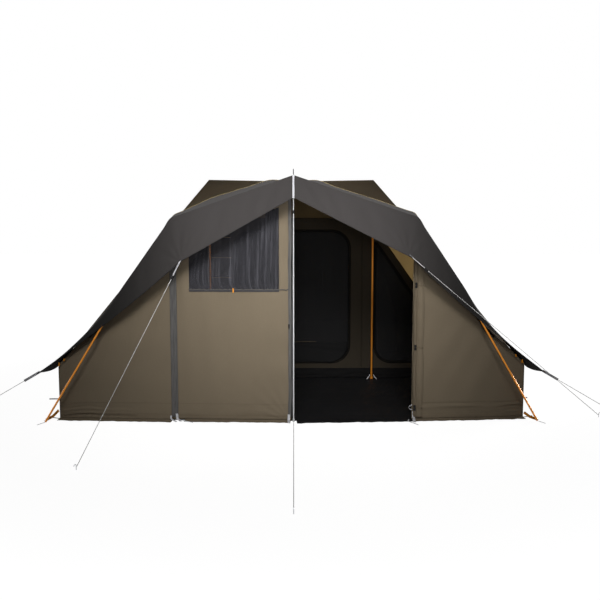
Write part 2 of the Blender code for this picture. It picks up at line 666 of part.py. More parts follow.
def wall_outline(corners, radii, depth=INNER_DEPTH):
    """An outline on the inner front wall, (x, height) corners rounded by their radii."""
    points = []
    spots = [Vector((x, 0, z)) for x, z in corners]
    for before, here, after, radius in zip(spots[-1:] + spots[:-1], spots, spots[1:] + spots[:1], radii):
        points += rounded_bend(before, here, after, radius, 6) if radius else [here]
    return [place(p.x, depth, p.z) for p in points]


slope = (INNER_TOP - INNER_EAVE) / (INNER_HALF - INNER_TOP_HALF)


def slope_height(x):
    """The height of the side doors' sloping edge, a margin inside the wall's own."""
    return INNER_TOP - slope * (x - INNER_TOP_HALF) - SIDE_DOOR_MARGIN * math.hypot(1, slope)


door_depth = INNER_DEPTH - (FABRIC - NET) / 2


def centre_door(grow):
    half = INNER_DOOR_HALF + grow
    low, high = INNER_DOOR_SILL - grow, INNER_DOOR_TOP + grow
    return wall_outline([(-half, low), (half, low), (half, high), (-half, high)],
                        [INNER_DOOR_RADIUS + grow] * 4, door_depth)


def side_door(grow, side):
    start, end = SIDE_DOOR_START - grow, SIDE_DOOR_END + grow
    low, rise = INNER_DOOR_SILL - grow, grow * math.hypot(1, slope)
    top = SIDE_DOOR_TOP + grow
    turn = INNER_TOP_HALF + (INNER_TOP - SIDE_DOOR_MARGIN * math.hypot(1, slope) + rise - top) / slope
    corners = [(start, low), (end, low), (end, slope_height(end) + rise), (turn, top), (start, top)]
    radii = [INNER_DOOR_RADIUS + grow, INNER_DOOR_RADIUS + grow] + [SIDE_DOOR_RADIUS + grow] * 3
    if side == LEFT:
        corners, radii = [(-x, z) for x, z in corners[::-1]], radii[::-1]
    return wall_outline(corners, radii, door_depth)


boolean(inner_front, prism("centre_door_cut", centre_door(0), 0.1, INNER), "DIFFERENCE")
prism("inner_door_centre", centre_door(-SEAT), NET, BLACK)
for side, word in ((LEFT, "left"), (RIGHT, "right")):
    boolean(inner_front, prism(f"side_door_cut_{word}", side_door(0, side), 0.1, INNER), "DIFFERENCE")
    prism(f"inner_door_{word}", side_door(-SEAT, side), NET, BLACK)

pocket_back = INNER_DEPTH - FABRIC / 2 - SEAT
rows = []
for i in range(POCKET_ROWS):
    low = POCKET_FOOT + (POCKET_TOP - POCKET_FOOT) * i / POCKET_ROWS
    high = POCKET_FOOT + (POCKET_TOP - POCKET_FOOT) * (i + 0.72) / POCKET_ROWS
    rows += [(pocket_back - POCKET_THICK, low), (pocket_back - POCKET_THICK, high),
             (pocket_back - FABRIC, high), (pocket_back - FABRIC, low + (POCKET_TOP - POCKET_FOOT) / POCKET_ROWS)]
profile = [(pocket_back, POCKET_FOOT), *rows, (pocket_back, POCKET_TOP)]
verts = [place(x, depth, z) for x in (POCKET_LEFT, POCKET_RIGHT) for depth, z in profile]
n = len(profile)
faces = [tuple(range(n)), tuple(range(2 * n - 1, n - 1, -1))]
faces += [(i, n + i, n + (i + 1) % n, (i + 1) % n) for i in range(n)]
add("organiser", verts, faces, INNER)

# Protector sheet: hood, shoulders and wings in one curved piece over the arch


def arch_frame(share, part, side):
    """A place on the arch's middle line, part 0 the rail and 1 the upper leg, its direction and normal."""
    bends = [(side * HUB_X, HUB_HEIGHT), SHOULDER[side], KNEE[side], (FOOT_HALF, 0)]
    bends = [Vector((x, 0, z)) for x, z in bends]
    legs = [(b - a).normalized() for a, b in zip(bends, bends[1:])]
    after = legs[part]
    before = after
    if share == 0:
        before = legs[part - 1] if part else Vector((after.x, 0, -after.z))
    elif share == 1:
        after = legs[part + 1]
    along = (before + after).normalized()
    normal = Vector((-along.z, 0, along.x)) / along.dot(after)
    for vector in (along, normal):
        vector.x *= side
    spot = bends[part].lerp(bends[part + 1], share)
    return place(side * spot.x, ARCH_DEPTH, spot.z), along, normal


def sheet_section(front, middle, trail, along=None, normal=None):
    """A row from the front edge to the trailing edge, wrapped round the arch or over a free ridge."""
    if along:
        radii = []
        for edge in (front, trail):
            reach = edge - middle
            reach -= along * reach.dot(along)
            rise = (normal - reach * normal.dot(reach) / reach.length_squared).normalized()
            lean = math.acos(min(CREST_LIFT / reach.length, 0.9))
            radii.append(reach.normalized() * math.cos(lean) + rise * math.sin(lean))
        scale = CREST_LIFT * normal.length
        before, after = middle + radii[0] * scale, middle + radii[1] * scale
        top = middle + (radii[0] + radii[1]).normalized() * scale
    else:
        ahead, behind = front - middle, trail - middle
        before = middle + ahead.normalized() * min(CREST_ROUND, ahead.length / 3)
        after = middle + behind.normalized() * min(CREST_ROUND, behind.length / 3)
        top = before * 0.25 + middle * 0.5 + after * 0.25
    return [front, front.lerp(before, 0.33), front.lerp(before, 0.66), before, top, after,
            after.lerp(trail, 0.33), after.lerp(trail, 0.66), trail]


def sheet_rows(side):
    """The sheet's rows at stations from the middle out to the tip."""
    shoulder_half, shoulder_height = SHOULDER[side]
    corner = Vector((shoulder_half - HOOD_CORNER_IN[side], HOOD_CORNER_DEPTH,
                     shoulder_height - HOOD_CORNER_DROP[side]))
    nose = Vector((side * HUB_X, -HOOD_REACH, HUB_HEIGHT - HOOD_DROP))
    tip = Vector((TIP_HALF, TIP_DEPTH, TIP_HEIGHT))
    trail_start, trail_end = side * HUB_X, shoulder_half + TRAIL_CORNER_OUT[side]
    trail_top = shoulder_height + TRAIL_CORNER_RISE[side]
    corner_lift = trail_top - roof_height(trail_end, TRAIL_DEPTH)
    rows = []
    for share in HOOD_SHARES:
        x, depth, z = nose.lerp(corner, share)
        trail_x = trail_start + (trail_end - trail_start) * share
        if share <= TRAIL_RISE_END:
            risen = max(0, (share - TRAIL_RISE_START) / (TRAIL_RISE_END - TRAIL_RISE_START))
            lift = TRAIL_LIFT + (TRAIL_LIFT_SIDE - TRAIL_LIFT) * risen
            trail_z = last_z = roof_height(trail_x, TRAIL_DEPTH) + lift
        else:
            trail_z = last_z + (trail_top - last_z) * (share - TRAIL_RISE_END) / (1 - TRAIL_RISE_END)
        middle, along, normal = arch_frame(share, 0, side)
        rows.append(sheet_section(place(side * x, depth, z), middle,
                                  place(side * trail_x, TRAIL_DEPTH, trail_z), along, normal))
    knee, _, outwards = arch_frame(1, 1, side)
    ridge_start = knee + outwards * CREST_LIFT
    ridge_start = Vector((abs(ridge_start.x), ARCH_DEPTH, ridge_start.z))
    tip_trails = {}
    for share, (inside, behind, above) in TRAIL_NEAR_TIP.items():
        tip_trails[share] = tip + Vector((-inside, behind, above))
    join = tip_trails[TRAIL_JOINS_TIP]
    for share, stage, spread in WING_STATIONS:
        x, depth, z = corner.lerp(tip - Vector((0, TIP_WIDTH / 2, 0)), share)
        front = place(side * x, depth, z - FRONT_SAG * 4 * share * (1 - share))
        if share in tip_trails:
            trail_x, trail_depth, trail_z = tip_trails[share]
        else:
            trail_x = trail_end + (join.x - trail_end) * share / TRAIL_JOINS_TIP
            trail_depth = join.y + (TRAIL_DEPTH - join.y) * spread
            lift = (corner_lift - TRAIL_LIFT_WING) * (1 - share / TRAIL_JOINS_TIP) ** 3
            trail_z = roof_height(trail_x, trail_depth) + TRAIL_LIFT_WING + lift
        trail = place(side * trail_x, trail_depth, trail_z)
        if stage <= 1:
            middle, along, normal = arch_frame(stage, 1, side)
            rows.append(sheet_section(front, middle, trail, along, normal))
        else:
            past = stage - 1
            ridge = ridge_start.lerp(tip, past)
            sag, skew = TIP_SAG[side]
            ridge.z -= sag * 4 * past * (1 - past) * (1 + skew * (0.5 - past))
            ridge.y = ARCH_DEPTH + (TIP_DEPTH - ARCH_DEPTH) * past ** 2
            rows.append(sheet_section(front, place(side * ridge.x, ridge.y, ridge.z), trail))
    return rows


right_rows, left_rows = sheet_rows(RIGHT), sheet_rows(LEFT)
grid = left_rows[:0:-1] + right_rows
across = len(grid[0])
verts = [p for row in grid for p in row]
faces = []
for j in range(len(grid) - 1):
    for k in range(across - 1):
        low, high = j * across + k, (j + 1) * across + k
        faces.append((low, high, high + 1, low + 1))
sheet = add("protector_sheet", verts, faces, GREY, smooth=True)
solid = sheet.modifiers.new("thickness", "SOLIDIFY")
solid.thickness = SHEET
solid.offset = 0
solid.use_even_offset = True
eyelet = sweep("eyelet_cut", [hub, hub + Vector((0, 0, SPIKE_ABOVE + CREST_LIFT + 0.1))],
               SPIKE_RADIUS + SEAT, PLASTIC)
boolean(sheet, eyelet, "DIFFERENCE")

# Centre strap over the hood, from behind the spike to just past the front edge

middle = right_rows[0]
path = [p.copy() for p in middle[:6]][::-1]
path[0] = path[1] + (path[0] - path[1]).normalized() * STRAP_BEHIND
path.append(path[-1] + (path[-1] - path[-2]).normalized() * STRAP_PAST)
levels = []
for i, point in enumerate(path):
    into = (point - path[i - 1]).normalized() if i else (path[1] - path[0]).normalized()
    out = (path[i + 1] - point).normalized() if i < len(path) - 1 else into
    upright = (into + out).normalized().cross(Vector((1, 0, 0)))
    levels.append((point, upright / upright.dot(into.cross(Vector((1, 0, 0))))))
low_gap, high_gap = SHEET / 2 + SEAT, SHEET / 2 + SEAT + WEBBING
outline = [p + n * low_gap for p, n in levels] + [p + n * high_gap for p, n in reversed(levels)]
n = len(outline)
shift = Vector((STRAP_WIDTH / 2, 0, 0))
faces = [tuple(range(n)), tuple(range(2 * n - 1, n - 1, -1))]
faces += [(i, n + i, n + (i + 1) % n, (i + 1) % n) for i in range(n)]
strap = add("centre_strap", [p - shift for p in outline] + [p + shift for p in outline], faces, WHITE)
boolean(strap, eyelet, "DIFFERENCE")

# Guylines with their runners and pegs


def peg(name, where, away):
    """The part of a hooked steel peg that shows above the ground; its shaft goes on below."""
    turn = [math.pi * i / 6 for i in range(7)]
    path = [where, where + Vector((0, 0, PEG_SHAFT / 2))]
    for angle in turn:
        swing = away * PEG_HOOK * (1 - math.cos(angle)) + Vector((0, 0, PEG_HOOK * math.sin(angle)))
        path.append(where + Vector((0, 0, PEG_SHAFT)) + swing)
    sweep(name, path, PEG_RADIUS, SILVER, sides=8)


def guyline(word, top, ground, square=True, runner=True):
    """A line from its exit down to its peg. With square, it starts clear of an upright edge."""
    flat = Vector((ground.x - top.x, ground.y - top.y, 0)).normalized()
    peg(f"peg_{word}", ground, flat)
    target = ground + Vector((0, 0, PEG_SHAFT * 0.6))
    run = (target - top).normalized()
    level = math.hypot(run.x, run.y)
    start = top + run * (SEAT / 2 - SHEET / 2 * run.z) / level if square else top
    end = target - run * (PEG_RADIUS + SEAT - LINE_RADIUS * run.z) / level
    cord(f"guyline_{word}", [start.lerp(end, i / 8) for i in range(9)], LINE_RADIUS)
    if runner:
        middle = start + run * RUNNER_FROM_TOP
        block = sweep(f"runner_{word}", [middle, middle + run * RUNNER_LENGTH], RUNNER_WIDTH / 2,
                      PLASTIC, bore=RUNNER_BORE, sides=8)
        side = run.cross(Vector((0, 0, 1))).normalized()
        thin = run.cross(side)
        for vertex in block.data.vertices:
            offset = vertex.co - middle
            height = offset.dot(thin)
            radial = offset - run * offset.dot(run)
            if radial.length > RUNNER_BORE * 1.5 and abs(height) > RUNNER_THICK / 2:
                vertex.co -= thin * (height - math.copysign(RUNNER_THICK / 2, height))


strap_end = (outline[len(path) - 1] + outline[len(path)]) / 2
strap_run = (path[-1] - path[-2]).normalized()
guyline("centre", strap_end + strap_run * 2 * SEAT, place(*PEG_CENTRE, 0), square=False)
for rows, word in ((left_rows, "left"), (right_rows, "right")):
    (corner, inner), after = rows[len(HOOD_SHARES)][:2], rows[len(HOOD_SHARES) + 1][0]
    outwards = (corner - inner).normalized()
    face = (after - corner).cross(outwards).normalized()
    face = -face if face.y > 0 else face
    if word == "left":
        top, ground = corner + outwards * (LINE_RADIUS * 0.65 + SEAT), PEG_LEFT
    else:
        top, ground = corner + face * (SHEET / 2 + LINE_RADIUS + 2 * SEAT) - outwards * 2 * LINE_RADIUS, PEG_RIGHT
    guyline(word, top, place(*ground, 0), square=False)
for side, word in ((LEFT, "tip_left"), (RIGHT, "tip_right")):
    guyline(word, place(side * TIP_HALF, TIP_DEPTH, TIP_HEIGHT), place(side * PEG_TIP_HALF, TIP_DEPTH, 0),
            runner=False)

# Straps that hold the arch's feet to the wall's corners

for side, word in ((LEFT, "left"), (RIGHT, "right")):
    wall = place(side * CORNER_HALF, CORNER_DEPTH, 0)
    foot = place(side * FOOT_HALF, ARCH_DEPTH, 0)
    run = (foot - wall).normalized()
    across = run.cross(Vector((0, 0, 1))) * FOOT_STRAP_WIDTH / 2
    start, end = wall + run * (FABRIC + 2 * SEAT), foot - run * (TUBE_RADIUS + 3 * SEAT)
    band = [start - across, start + across, end + across, end - across]
    prism(f"foot_strap_{word}", [p + Vector((0, 0, WEBBING / 2)) for p in band], WEBBING, ORANGE)
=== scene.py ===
"""The finished look of a polycotton family tent: cloth, nets, webbing, cords and tubes round a fixed frame.

X is to the right of someone who faces the doorway, Y runs back into the tent and Z is up, in metres.
"""
import math

import bpy
import numpy as np
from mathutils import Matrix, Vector


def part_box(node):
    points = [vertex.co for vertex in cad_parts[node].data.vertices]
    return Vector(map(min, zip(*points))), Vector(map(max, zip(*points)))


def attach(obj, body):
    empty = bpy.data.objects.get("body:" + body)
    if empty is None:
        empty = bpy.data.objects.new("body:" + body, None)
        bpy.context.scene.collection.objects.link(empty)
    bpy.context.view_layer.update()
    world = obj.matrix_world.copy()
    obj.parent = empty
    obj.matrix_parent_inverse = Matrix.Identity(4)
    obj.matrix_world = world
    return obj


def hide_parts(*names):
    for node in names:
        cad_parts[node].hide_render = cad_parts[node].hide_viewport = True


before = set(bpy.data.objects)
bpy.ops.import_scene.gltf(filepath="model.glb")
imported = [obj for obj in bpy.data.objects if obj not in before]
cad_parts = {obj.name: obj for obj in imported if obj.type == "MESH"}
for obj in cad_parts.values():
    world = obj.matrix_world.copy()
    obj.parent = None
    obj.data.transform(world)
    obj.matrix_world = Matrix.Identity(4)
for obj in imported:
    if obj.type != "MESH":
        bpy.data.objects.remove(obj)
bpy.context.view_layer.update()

# Groundsheet: black coated cloth, cut to the plan of the walls and laid loose, so it keeps low waves.
# The plan's corners are read from the frame's panels, and every cloth piece further down starts from
# them. Grids of points have rows and columns; rows that rise while columns run clockwise face outwards.

LEFT, RIGHT = -1, 1
WORDS = {LEFT: "left", RIGHT: "right"}
HALF_CLOTH, RIDGE_SAG, LINTEL_GAP = 0.001, 0.026, 0.004
EAVE_HALF, EAVE_HEIGHT = 1.86, 0.90


def box(node):
    """The lowest and highest corner of a frame node, as arrays."""
    return [np.array(corner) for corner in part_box(node)]


def far_and_near(node, side):
    """A node's X furthest from the tent's middle and nearest to it, on a known side."""
    low, high = box(node)
    return (low[0], high[0]) if side == LEFT else (high[0], low[0])


def read_corners():
    """The corners of the tent body by name and side, from the boxes of its panels and poles."""
    spots = {}
    gable_low, gable_high = box("door_gable")
    front = gable_low[1] + HALF_CLOTH
    spots["gable"] = np.array([0, front, gable_high[2]])
    spots["lintel"] = np.array([0, front, box("door_leaf_left")[1][2] + LINTEL_GAP])
    for side, word in WORDS.items():
        far, near = far_and_near(f"front_panel_{word}", side)
        panel, wall, back = box(f"front_panel_{word}"), box(f"wall_front_{word}"), box(f"wall_back_{word}")
        pole = np.mean(box(f"main_pole_upper_{word}"), axis=0)
        wall_top = wall[1][2]
        spots["post", side] = np.array([near, panel[0][1] + HALF_CLOTH, panel[1][2]])
        spots["lintel", side] = np.array([near, panel[0][1] + HALF_CLOTH, gable_low[2]])
        spots["corner", side] = np.array([far, panel[1][1] - HALF_CLOTH, wall_top])
        far, _ = far_and_near(f"wall_front_{word}", side)
        spots["side", side] = np.array([far, wall[1][1], wall_top])
        _, near = far_and_near(f"wall_back_{word}", side)
        spots["back", side] = np.array([near, back[1][1] - HALF_CLOTH, wall_top])
        spots["peak", side] = np.array([pole[0], pole[1], box(f"roof_{word}")[1][2] - HALF_CLOTH])
        post, corner = spots["post", side], spots["corner", side]
        share = (EAVE_HALF - abs(post[0])) / abs(corner[0] - post[0])
        spots["eave", side] = np.array([side * EAVE_HALF, (post + (corner - post) * share)[1], EAVE_HEIGHT])
    spots["ridge"] = np.mean([spots["peak", LEFT], spots["peak", RIGHT]], axis=0) - [0, 0, RIDGE_SAG]
    spots["ridge"][0] = 0
    return spots


CORNERS = read_corners()


def foot(key):
    """The place on the ground under a corner."""
    return CORNERS[key] * [1, 1, 0]


def polyline(points, spacing):
    """Points along straight runs, each in steps of about the spacing, and the indices of their ends."""
    runs, ends = [], [0]
    for start, end in zip(points[:-1], points[1:]):
        count = max(2, round(np.linalg.norm(end - start) / spacing))
        runs.append(start + (end - start) * np.linspace(0, 1, count, endpoint=False)[:, None])
        ends.append(ends[-1] + count)
    return np.concatenate([*runs, [points[-1]]]), ends


def corner_line(keys, spacing):
    """Points along the straight runs between corners, and the indices of the corners."""
    return polyline(np.array([CORNERS[key] for key in keys]), spacing)


def ruled(low, high, rows):
    """Straight runs from each point of one edge to its fellow on another edge or to one apex."""
    share = np.linspace(0, 1, rows)[:, None, None]
    return np.asarray(low)[None] * (1 - share) + np.asarray(high)[None] * share


def unit(vectors):
    """Vectors scaled to length one; one without length stays nought."""
    return vectors / np.maximum(np.linalg.norm(vectors, axis=-1, keepdims=True), 1e-9)


def facings(grid):
    """The outward direction at each point of a grid: the row direction times the column direction."""
    rows, columns = np.gradient(grid, axis=0), np.gradient(grid, axis=1)
    faces = np.cross(rows, columns)
    flat = np.linalg.norm(faces, axis=-1) < 1e-9
    faces[flat] = np.broadcast_to(faces.mean(axis=(0, 1)), faces.shape)[flat]
    return unit(faces)


def arc_lengths(grid, axis):
    """How far each point of a grid is along its own row or column, in metres."""
    steps = np.linalg.norm(np.diff(grid, axis=axis), axis=-1)
    start = np.zeros_like(steps.take([0], axis=axis))
    return np.concatenate([start, np.cumsum(steps, axis=axis)], axis=axis)


def from_ends(lengths, axis):
    """How far each point is from the nearer end of its row or column."""
    return np.minimum(lengths, lengths.take([-1], axis=axis) - lengths)


def pushed(grid, lift):
    """A grid with each point moved outwards by its lift."""
    return grid + facings(grid) * lift[..., None]


def waves(along, length, seed):
    """Irregular soft waves of about one wavelength: five sines of unlike lengths and random phases."""
    draw = np.random.default_rng(seed)
    total = sum(np.sin(2 * np.pi * along / (length * stretch) + draw.uniform(0, 2 * np.pi))
                for stretch in (0.62, 0.81, 1.0, 1.37, 1.9))
    return total / 2.2


def new_mesh(name, points, quads, ends=()):
    """A mesh object at the origin with four-sided faces, and many-sided end faces where given."""
    mesh = bpy.data.meshes.new(name)
    points = np.asarray(points, np.float32).reshape(-1, 3)
    mesh.vertices.add(len(points))
    mesh.vertices.foreach_set("co", points.ravel())
    corners = np.concatenate([np.asarray(quads).ravel(), *[np.asarray(end).ravel() for end in ends]])
    sizes = np.concatenate([np.full(len(quads), 4), [len(end) for end in ends]]).astype(int)
    mesh.loops.add(len(corners))
    mesh.loops.foreach_set("vertex_index", corners.astype(np.int32))
    mesh.polygons.add(len(sizes))
    mesh.polygons.foreach_set("loop_start", (np.cumsum(sizes) - sizes).astype(np.int32))
    mesh.update(calc_edges=True)
    mesh.validate()
    mesh.shade_smooth()
    made = bpy.data.objects.new(name, mesh)
    bpy.context.scene.collection.objects.link(made)
    return made


def grid_quads(rows, columns, wrap=False):
    """The four corners of each cell of a grid, turned to face outwards. With wrap, the last column is joined
    to the first one."""
    index = np.arange(rows * columns).reshape(rows, columns)
    if wrap:
        index = np.concatenate([index, index[:, :1]], axis=1)
    return np.stack([index[:-1, :-1], index[1:, :-1], index[1:, 1:], index[:-1, 1:]], axis=-1)


def set_attribute(piece, name, values, kind="FLOAT", field="value"):
    """A value at each point of a piece, for its material to read."""
    layer = piece.data.attributes.new(name, kind, "POINT")
    layer.data.foreach_set(field, np.asarray(values, np.float32).ravel())


def map_cloth(piece, across, along, seam, run):
    """What a cloth's material reads: a UV map in metres, and its ways from the nearest seam and along it."""
    layer = piece.data.uv_layers.new(name="cloth")
    loops = np.zeros(len(piece.data.loops), np.int32)
    piece.data.loops.foreach_get("vertex_index", loops)
    places = np.stack([across.ravel(), along.ravel()], axis=-1)[loops]
    layer.data.foreach_set("uv", places.astype(np.float32).ravel())
    set_attribute(piece, "seam", seam)
    set_attribute(piece, "run", run)


def thicken(piece, thickness):
    """Gives a cloth its thickness, half to each side of its grid."""
    wall = piece.modifiers.new("thickness", "SOLIDIFY")
    wall.thickness, wall.offset, wall.use_even_offset = thickness, 0, True


def dress(piece, finish, body="tent", stands_for=()):
    """Gives a piece its material, its body and the frame nodes that it stands for."""
    piece.data.materials.append(finish)
    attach(piece, body)
    if stands_for:
        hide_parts(*stands_for)
    return piece


def refinish(node, finish):
    """Gives a solid of the frame, shown as it is, its material."""
    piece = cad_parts[node]
    piece.data.materials.clear()
    piece.data.materials.append(finish)
    return piece


def cloth(name, grid, finish, body="tent", stands_for=(), hole=None,
          thickness=0.0012, wrap=False):
    """A sewn cloth panel on a grid, with its map in metres and its distance from the seams.
    With wrap it goes once round, so that only its first and last rows are seams."""
    rows, columns = grid.shape[:2]
    quads = grid_quads(rows, columns, wrap)
    if hole is not None:
        quads = quads[~hole]
    quads = quads.reshape(-1, 4)
    piece = new_mesh(name, grid, quads)
    across, along = arc_lengths(grid, 1), arc_lengths(grid, 0)
    to_side, to_end = np.full_like(across, 1.0) if wrap else from_ends(across, 1), from_ends(along, 0)
    map_cloth(piece, across, along, np.minimum(to_side, to_end), np.where(to_side < to_end, along, across))
    thicken(piece, thickness)
    dress(piece, finish, body, stands_for)
    spots = grid.reshape(-1, 3)[quads]
    area = np.linalg.norm(np.cross(spots[:, 2] - spots[:, 0], spots[:, 3] - spots[:, 1]), axis=1).sum() / 2
    return piece


class Wire:
    """A value inside a material. Sums and products of wires add Math nodes; node() adds any other node."""

    def __init__(self, tree, socket=None):
        self.tree, self.socket = tree, socket

    def node(self, kind, settings=None, inputs=None, output=0):
        """A node of a kind: its settings first, then the values or wires of its sockets."""
        made = self.tree.nodes.new("ShaderNode" + kind)
        for key, value in (settings or {}).items():
            setattr(made, key, value)
        for key, value in (inputs or {}).items():
            if isinstance(value, Wire):
                self.tree.links.new(value.socket, made.inputs[key])
            else:
                made.inputs[key].default_value = value
        return Wire(self.tree, made.outputs[output])

    def math(self, operation, *values):
        """A Math node on values or wires."""
        return self.node("Math", {"operation": operation}, dict(enumerate(values)))

    def __add__(self, other):
        return self.math("ADD", self, other)

    def __sub__(self, other):
        return self.math("SUBTRACT", self, other)

    def __rsub__(self, other):
        return self.math("SUBTRACT", other, self)

    def __mul__(self, other):
        return self.math("MULTIPLY", self, other)

    __radd__, __rmul__ = __add__, __mul__

    def sine(self):
        """The sine of this wire."""
        return self.math("SINE", self)

    def cycles(self, length):
        """A sine that repeats over each length."""
        return (self * (2 * math.pi / length)).sine()

    def colour(self, colour):
        """One colour."""
        made = self.node("RGB")
        made.socket.default_value = (*colour, 1)
        return made

    def attribute(self, name, output="Fac"):
        """What a piece says at each of its points."""
        return self.node("Attribute", {"attribute_name": name}, output=output)

    def place(self):
        """Where a point is, in metres."""
        return self.node("TexCoord", output="Object")

    def cloth_map(self):
        """Where a point is on its cloth: across it and along it, in metres."""
        return self.node("UVMap", {"uv_map": "cloth"})

    def rise(self, start, end, low=0.0, high=1.0):
        """A soft step from one value to another as this wire goes from start to end."""
        return self.node("MapRange", {"interpolation_type": "SMOOTHSTEP"},
                         {"Value": self, "From Min": start, "From Max": end, "To Min": low, "To Max": high})

    def line(self, middle, half_width):
        """One on a thin line where this wire has its middle value, and nought beside it."""
        return self.math("ABSOLUTE", self - middle).rise(half_width, half_width * 0.4)

    def part(self, axis):
        """One number, X, Y or Z, of a vector."""
        return self.node("SeparateXYZ", None, {0: self}, axis)

    def stretched(self, scale):
        """A vector with each of its numbers scaled."""
        return self.node("VectorMath", {"operation": "MULTIPLY"}, {0: self, 1: scale})

    def noise(self, scale, detail=2.0, roughness=0.5):
        """Cloudy noise over this vector, from nought to one."""
        return self.node("TexNoise", None,
                         {"Vector": self, "Scale": scale, "Detail": detail, "Roughness": roughness})

    def blend(self, first, second):
        """A colour between two, by this wire."""
        return self.node("Mix", {"data_type": "RGBA"},
                         {0: self, 6: first if isinstance(first, Wire) else (*first, 1),
                          7: second if isinstance(second, Wire) else (*second, 1)}, 2)

    def dyed(self, factor):
        """This colour made lighter or darker by a factor."""
        return self.node("VectorMath", {"operation": "SCALE"}, {0: self, "Scale": factor})

    def bump(self, distance, strength=1.0, under=None):
        """This height as relief, over the relief of another bump."""
        inputs = {"Height": self, "Distance": distance, "Strength": strength}
        return self.node("Bump", None, inputs if under is None else {**inputs, "Normal": under})


def new_material(name):
    """A new material, its main shader and a wire to start from."""
    made = bpy.data.materials.new(name)
    made.use_nodes = True
    return made, made.node_tree.nodes["Principled BSDF"], Wire(made.node_tree)


def feed(shader, **sockets):
    """Sets or links a shader's sockets, named with underscores for spaces."""
    for key, value in sockets.items():
        socket = shader.inputs[key.replace("_", " ")]
        if isinstance(value, Wire):
            value.tree.links.new(value.socket, socket)
        elif socket.type == "RGBA":
            socket.default_value = (*value, 1)
        else:
            socket.default_value = value


def weave(wire, thread):
    """The relief of a plain weave from the cloth's map: threads across and along, one over the other."""
    cloth_map = wire.cloth_map()
    warp, weft = cloth_map.part(0).cycles(thread), cloth_map.part(1).cycles(thread)
    return warp.math("MAXIMUM", warp, weft), cloth_map


THROUGH_SHARE, STITCH_LENGTH = 0.45, 0.0038


def woven(name, colour, thread, roughness, mottle, relief, stitch, darken_low=0.0, glow=None, creases=0.0006,
          gloss=0.05, darker=None):
    """Woven cloth: weave, cloudy dye, fine creases, darker felled seams with two rows of stitches, and where
    asked a colour that grows darker towards the ground. With glow it lets light through. With darker the
    colour turns darker along the wings, which is painted shade."""
    made, shader, wire = new_material(name)
    place = wire.place()
    threads, cloth_map = weave(wire, thread)
    seam, run = wire.attribute("seam"), wire.attribute("run")
    clouds = place.noise(1.6, 4.0, 0.6)
    grain = place.noise(90.0, 3.0, 0.6)
    slubs = cloth_map.stretched((260.0, 9.0, 1.0)).noise(1.0, 2.0)
    double = seam.rise(0.017, 0.0155)
    rows = seam.line(0.004, 0.0011) + seam.line(0.0125, 0.0011)
    stitches = rows * run.cycles(STITCH_LENGTH).rise(-0.5, 0.1)
    shade = 1.0 + (clouds - 0.5) * (2 * mottle) + (grain - 0.5) * 0.10 + (slubs - 0.5) * 0.07
    shade = (shade + threads * 0.018) * (1.0 - double * 0.10) * (1.0 - stitches * stitch * 0.4)
    # Darker towards the ground, over about the lowest 0.17 m, up to a noisy line.
    if darken_low:
        near_ground = (place.part(2) + (place.noise(7.0, 3.0) - 0.5) * 0.16).rise(0.17, -0.02)
        shade = shade * (1.0 - near_ground * darken_low)
    # Along the wings the colour turns to the darker one: painted shade.
    dye = wire.attribute("wing_shade").blend(colour, darker) if darker else wire.colour(colour)
    height = threads * 0.25 + slubs * 0.5 + grain * 0.3 + double * 1.2 - stitches * 1.5
    fine = height.bump(relief, 0.8)
    soft = cloth_map.stretched((5.0, 2.2, 1.0)).noise(1.0, 4.0, 0.62)
    relief_all = soft.bump(creases * 12, 0.5, fine)
    feed(shader, Base_Color=dye.dyed(shade), Roughness=(grain - 0.5) * 0.15 + roughness, Normal=relief_all,
         Specular_IOR_Level=gloss)
    if glow:
        through = wire.node("BsdfTranslucent", None,
                            {"Color": wire.colour(glow).dyed(shade), "Normal": relief_all})
        mixed = wire.node("MixShader", None, {0: THROUGH_SHARE, 2: through})
        wire.tree.links.new(shader.outputs[0], mixed.socket.node.inputs[1])
        wire.tree.links.new(mixed.socket, wire.tree.nodes["Material Output"].inputs["Surface"])
    return made


FLOOR_TOP, FLOOR_WAVE, FLOOR_SHARE = 0.0035, 0.0012, 0.998
floor_keys = ["gable", ("post", LEFT), ("corner", LEFT), ("side", LEFT), ("back", LEFT), ("back", RIGHT),
              ("side", RIGHT), ("corner", RIGHT), ("post", RIGHT), "gable"]
floor_middle = np.array([0, box("groundsheet")[1][1] * 0.02, 0])
floor_line = np.array([foot(key) for key in floor_keys])
floor_line = floor_middle + (floor_line - floor_middle) * FLOOR_SHARE
floor_grid = ruled(polyline(floor_line, 0.05)[0], floor_middle, 60)
floor_waves = waves(floor_grid[..., 0] + floor_grid[..., 1] * 0.4, 0.5, 3)
floor_waves = (floor_waves + waves(floor_grid[..., 1], 0.37, 4)).clip(-1, 1)
floor_grid[..., 2] = FLOOR_TOP - FLOOR_WAVE + FLOOR_WAVE * floor_waves
black_sheeting = woven("black coated sheeting", (0.013, 0.013, 0.014), 0.0012, 0.55, 0.25, 0.0002, 0.2)
cloth("floor_sheet", floor_grid, black_sheeting, stands_for=["groundsheet"])

# Front pole and main poles: drawn tube, each widened at its foot. The front pole is thin bright steel. Each
# main pole is a lower tube with a foot and an upper tube whose spigot plugs into it, in orange anodised
# aluminium. A bar is rings of points along a path; where the radius changes, the path repeats a point.


def tube_rings(path, radius, sides):
    """Rings across a path, each point at its angle from the path's side: centre + side cos + other sin."""
    path = np.asarray(path, float)
    radius = np.broadcast_to(radius, len(path))
    tangents = unit(np.gradient(path, axis=0))
    repeated = np.linalg.norm(tangents, axis=1) < 0.5
    tangents[repeated] = unit(path[-1] - path[0])
    upright = abs(tangents[:, 1]).mean() > 0.8
    across = unit(np.cross(tangents, [1.0, 0, 0] if upright else [0, 1.0, 0]))
    other = np.cross(across, tangents)
    turn = np.arange(sides) * 2 * np.pi / sides
    ring = across[:, None] * np.cos(turn)[:, None] + other[:, None] * np.sin(turn)[:, None]
    return path[:, None] + ring * radius[:, None, None], turn


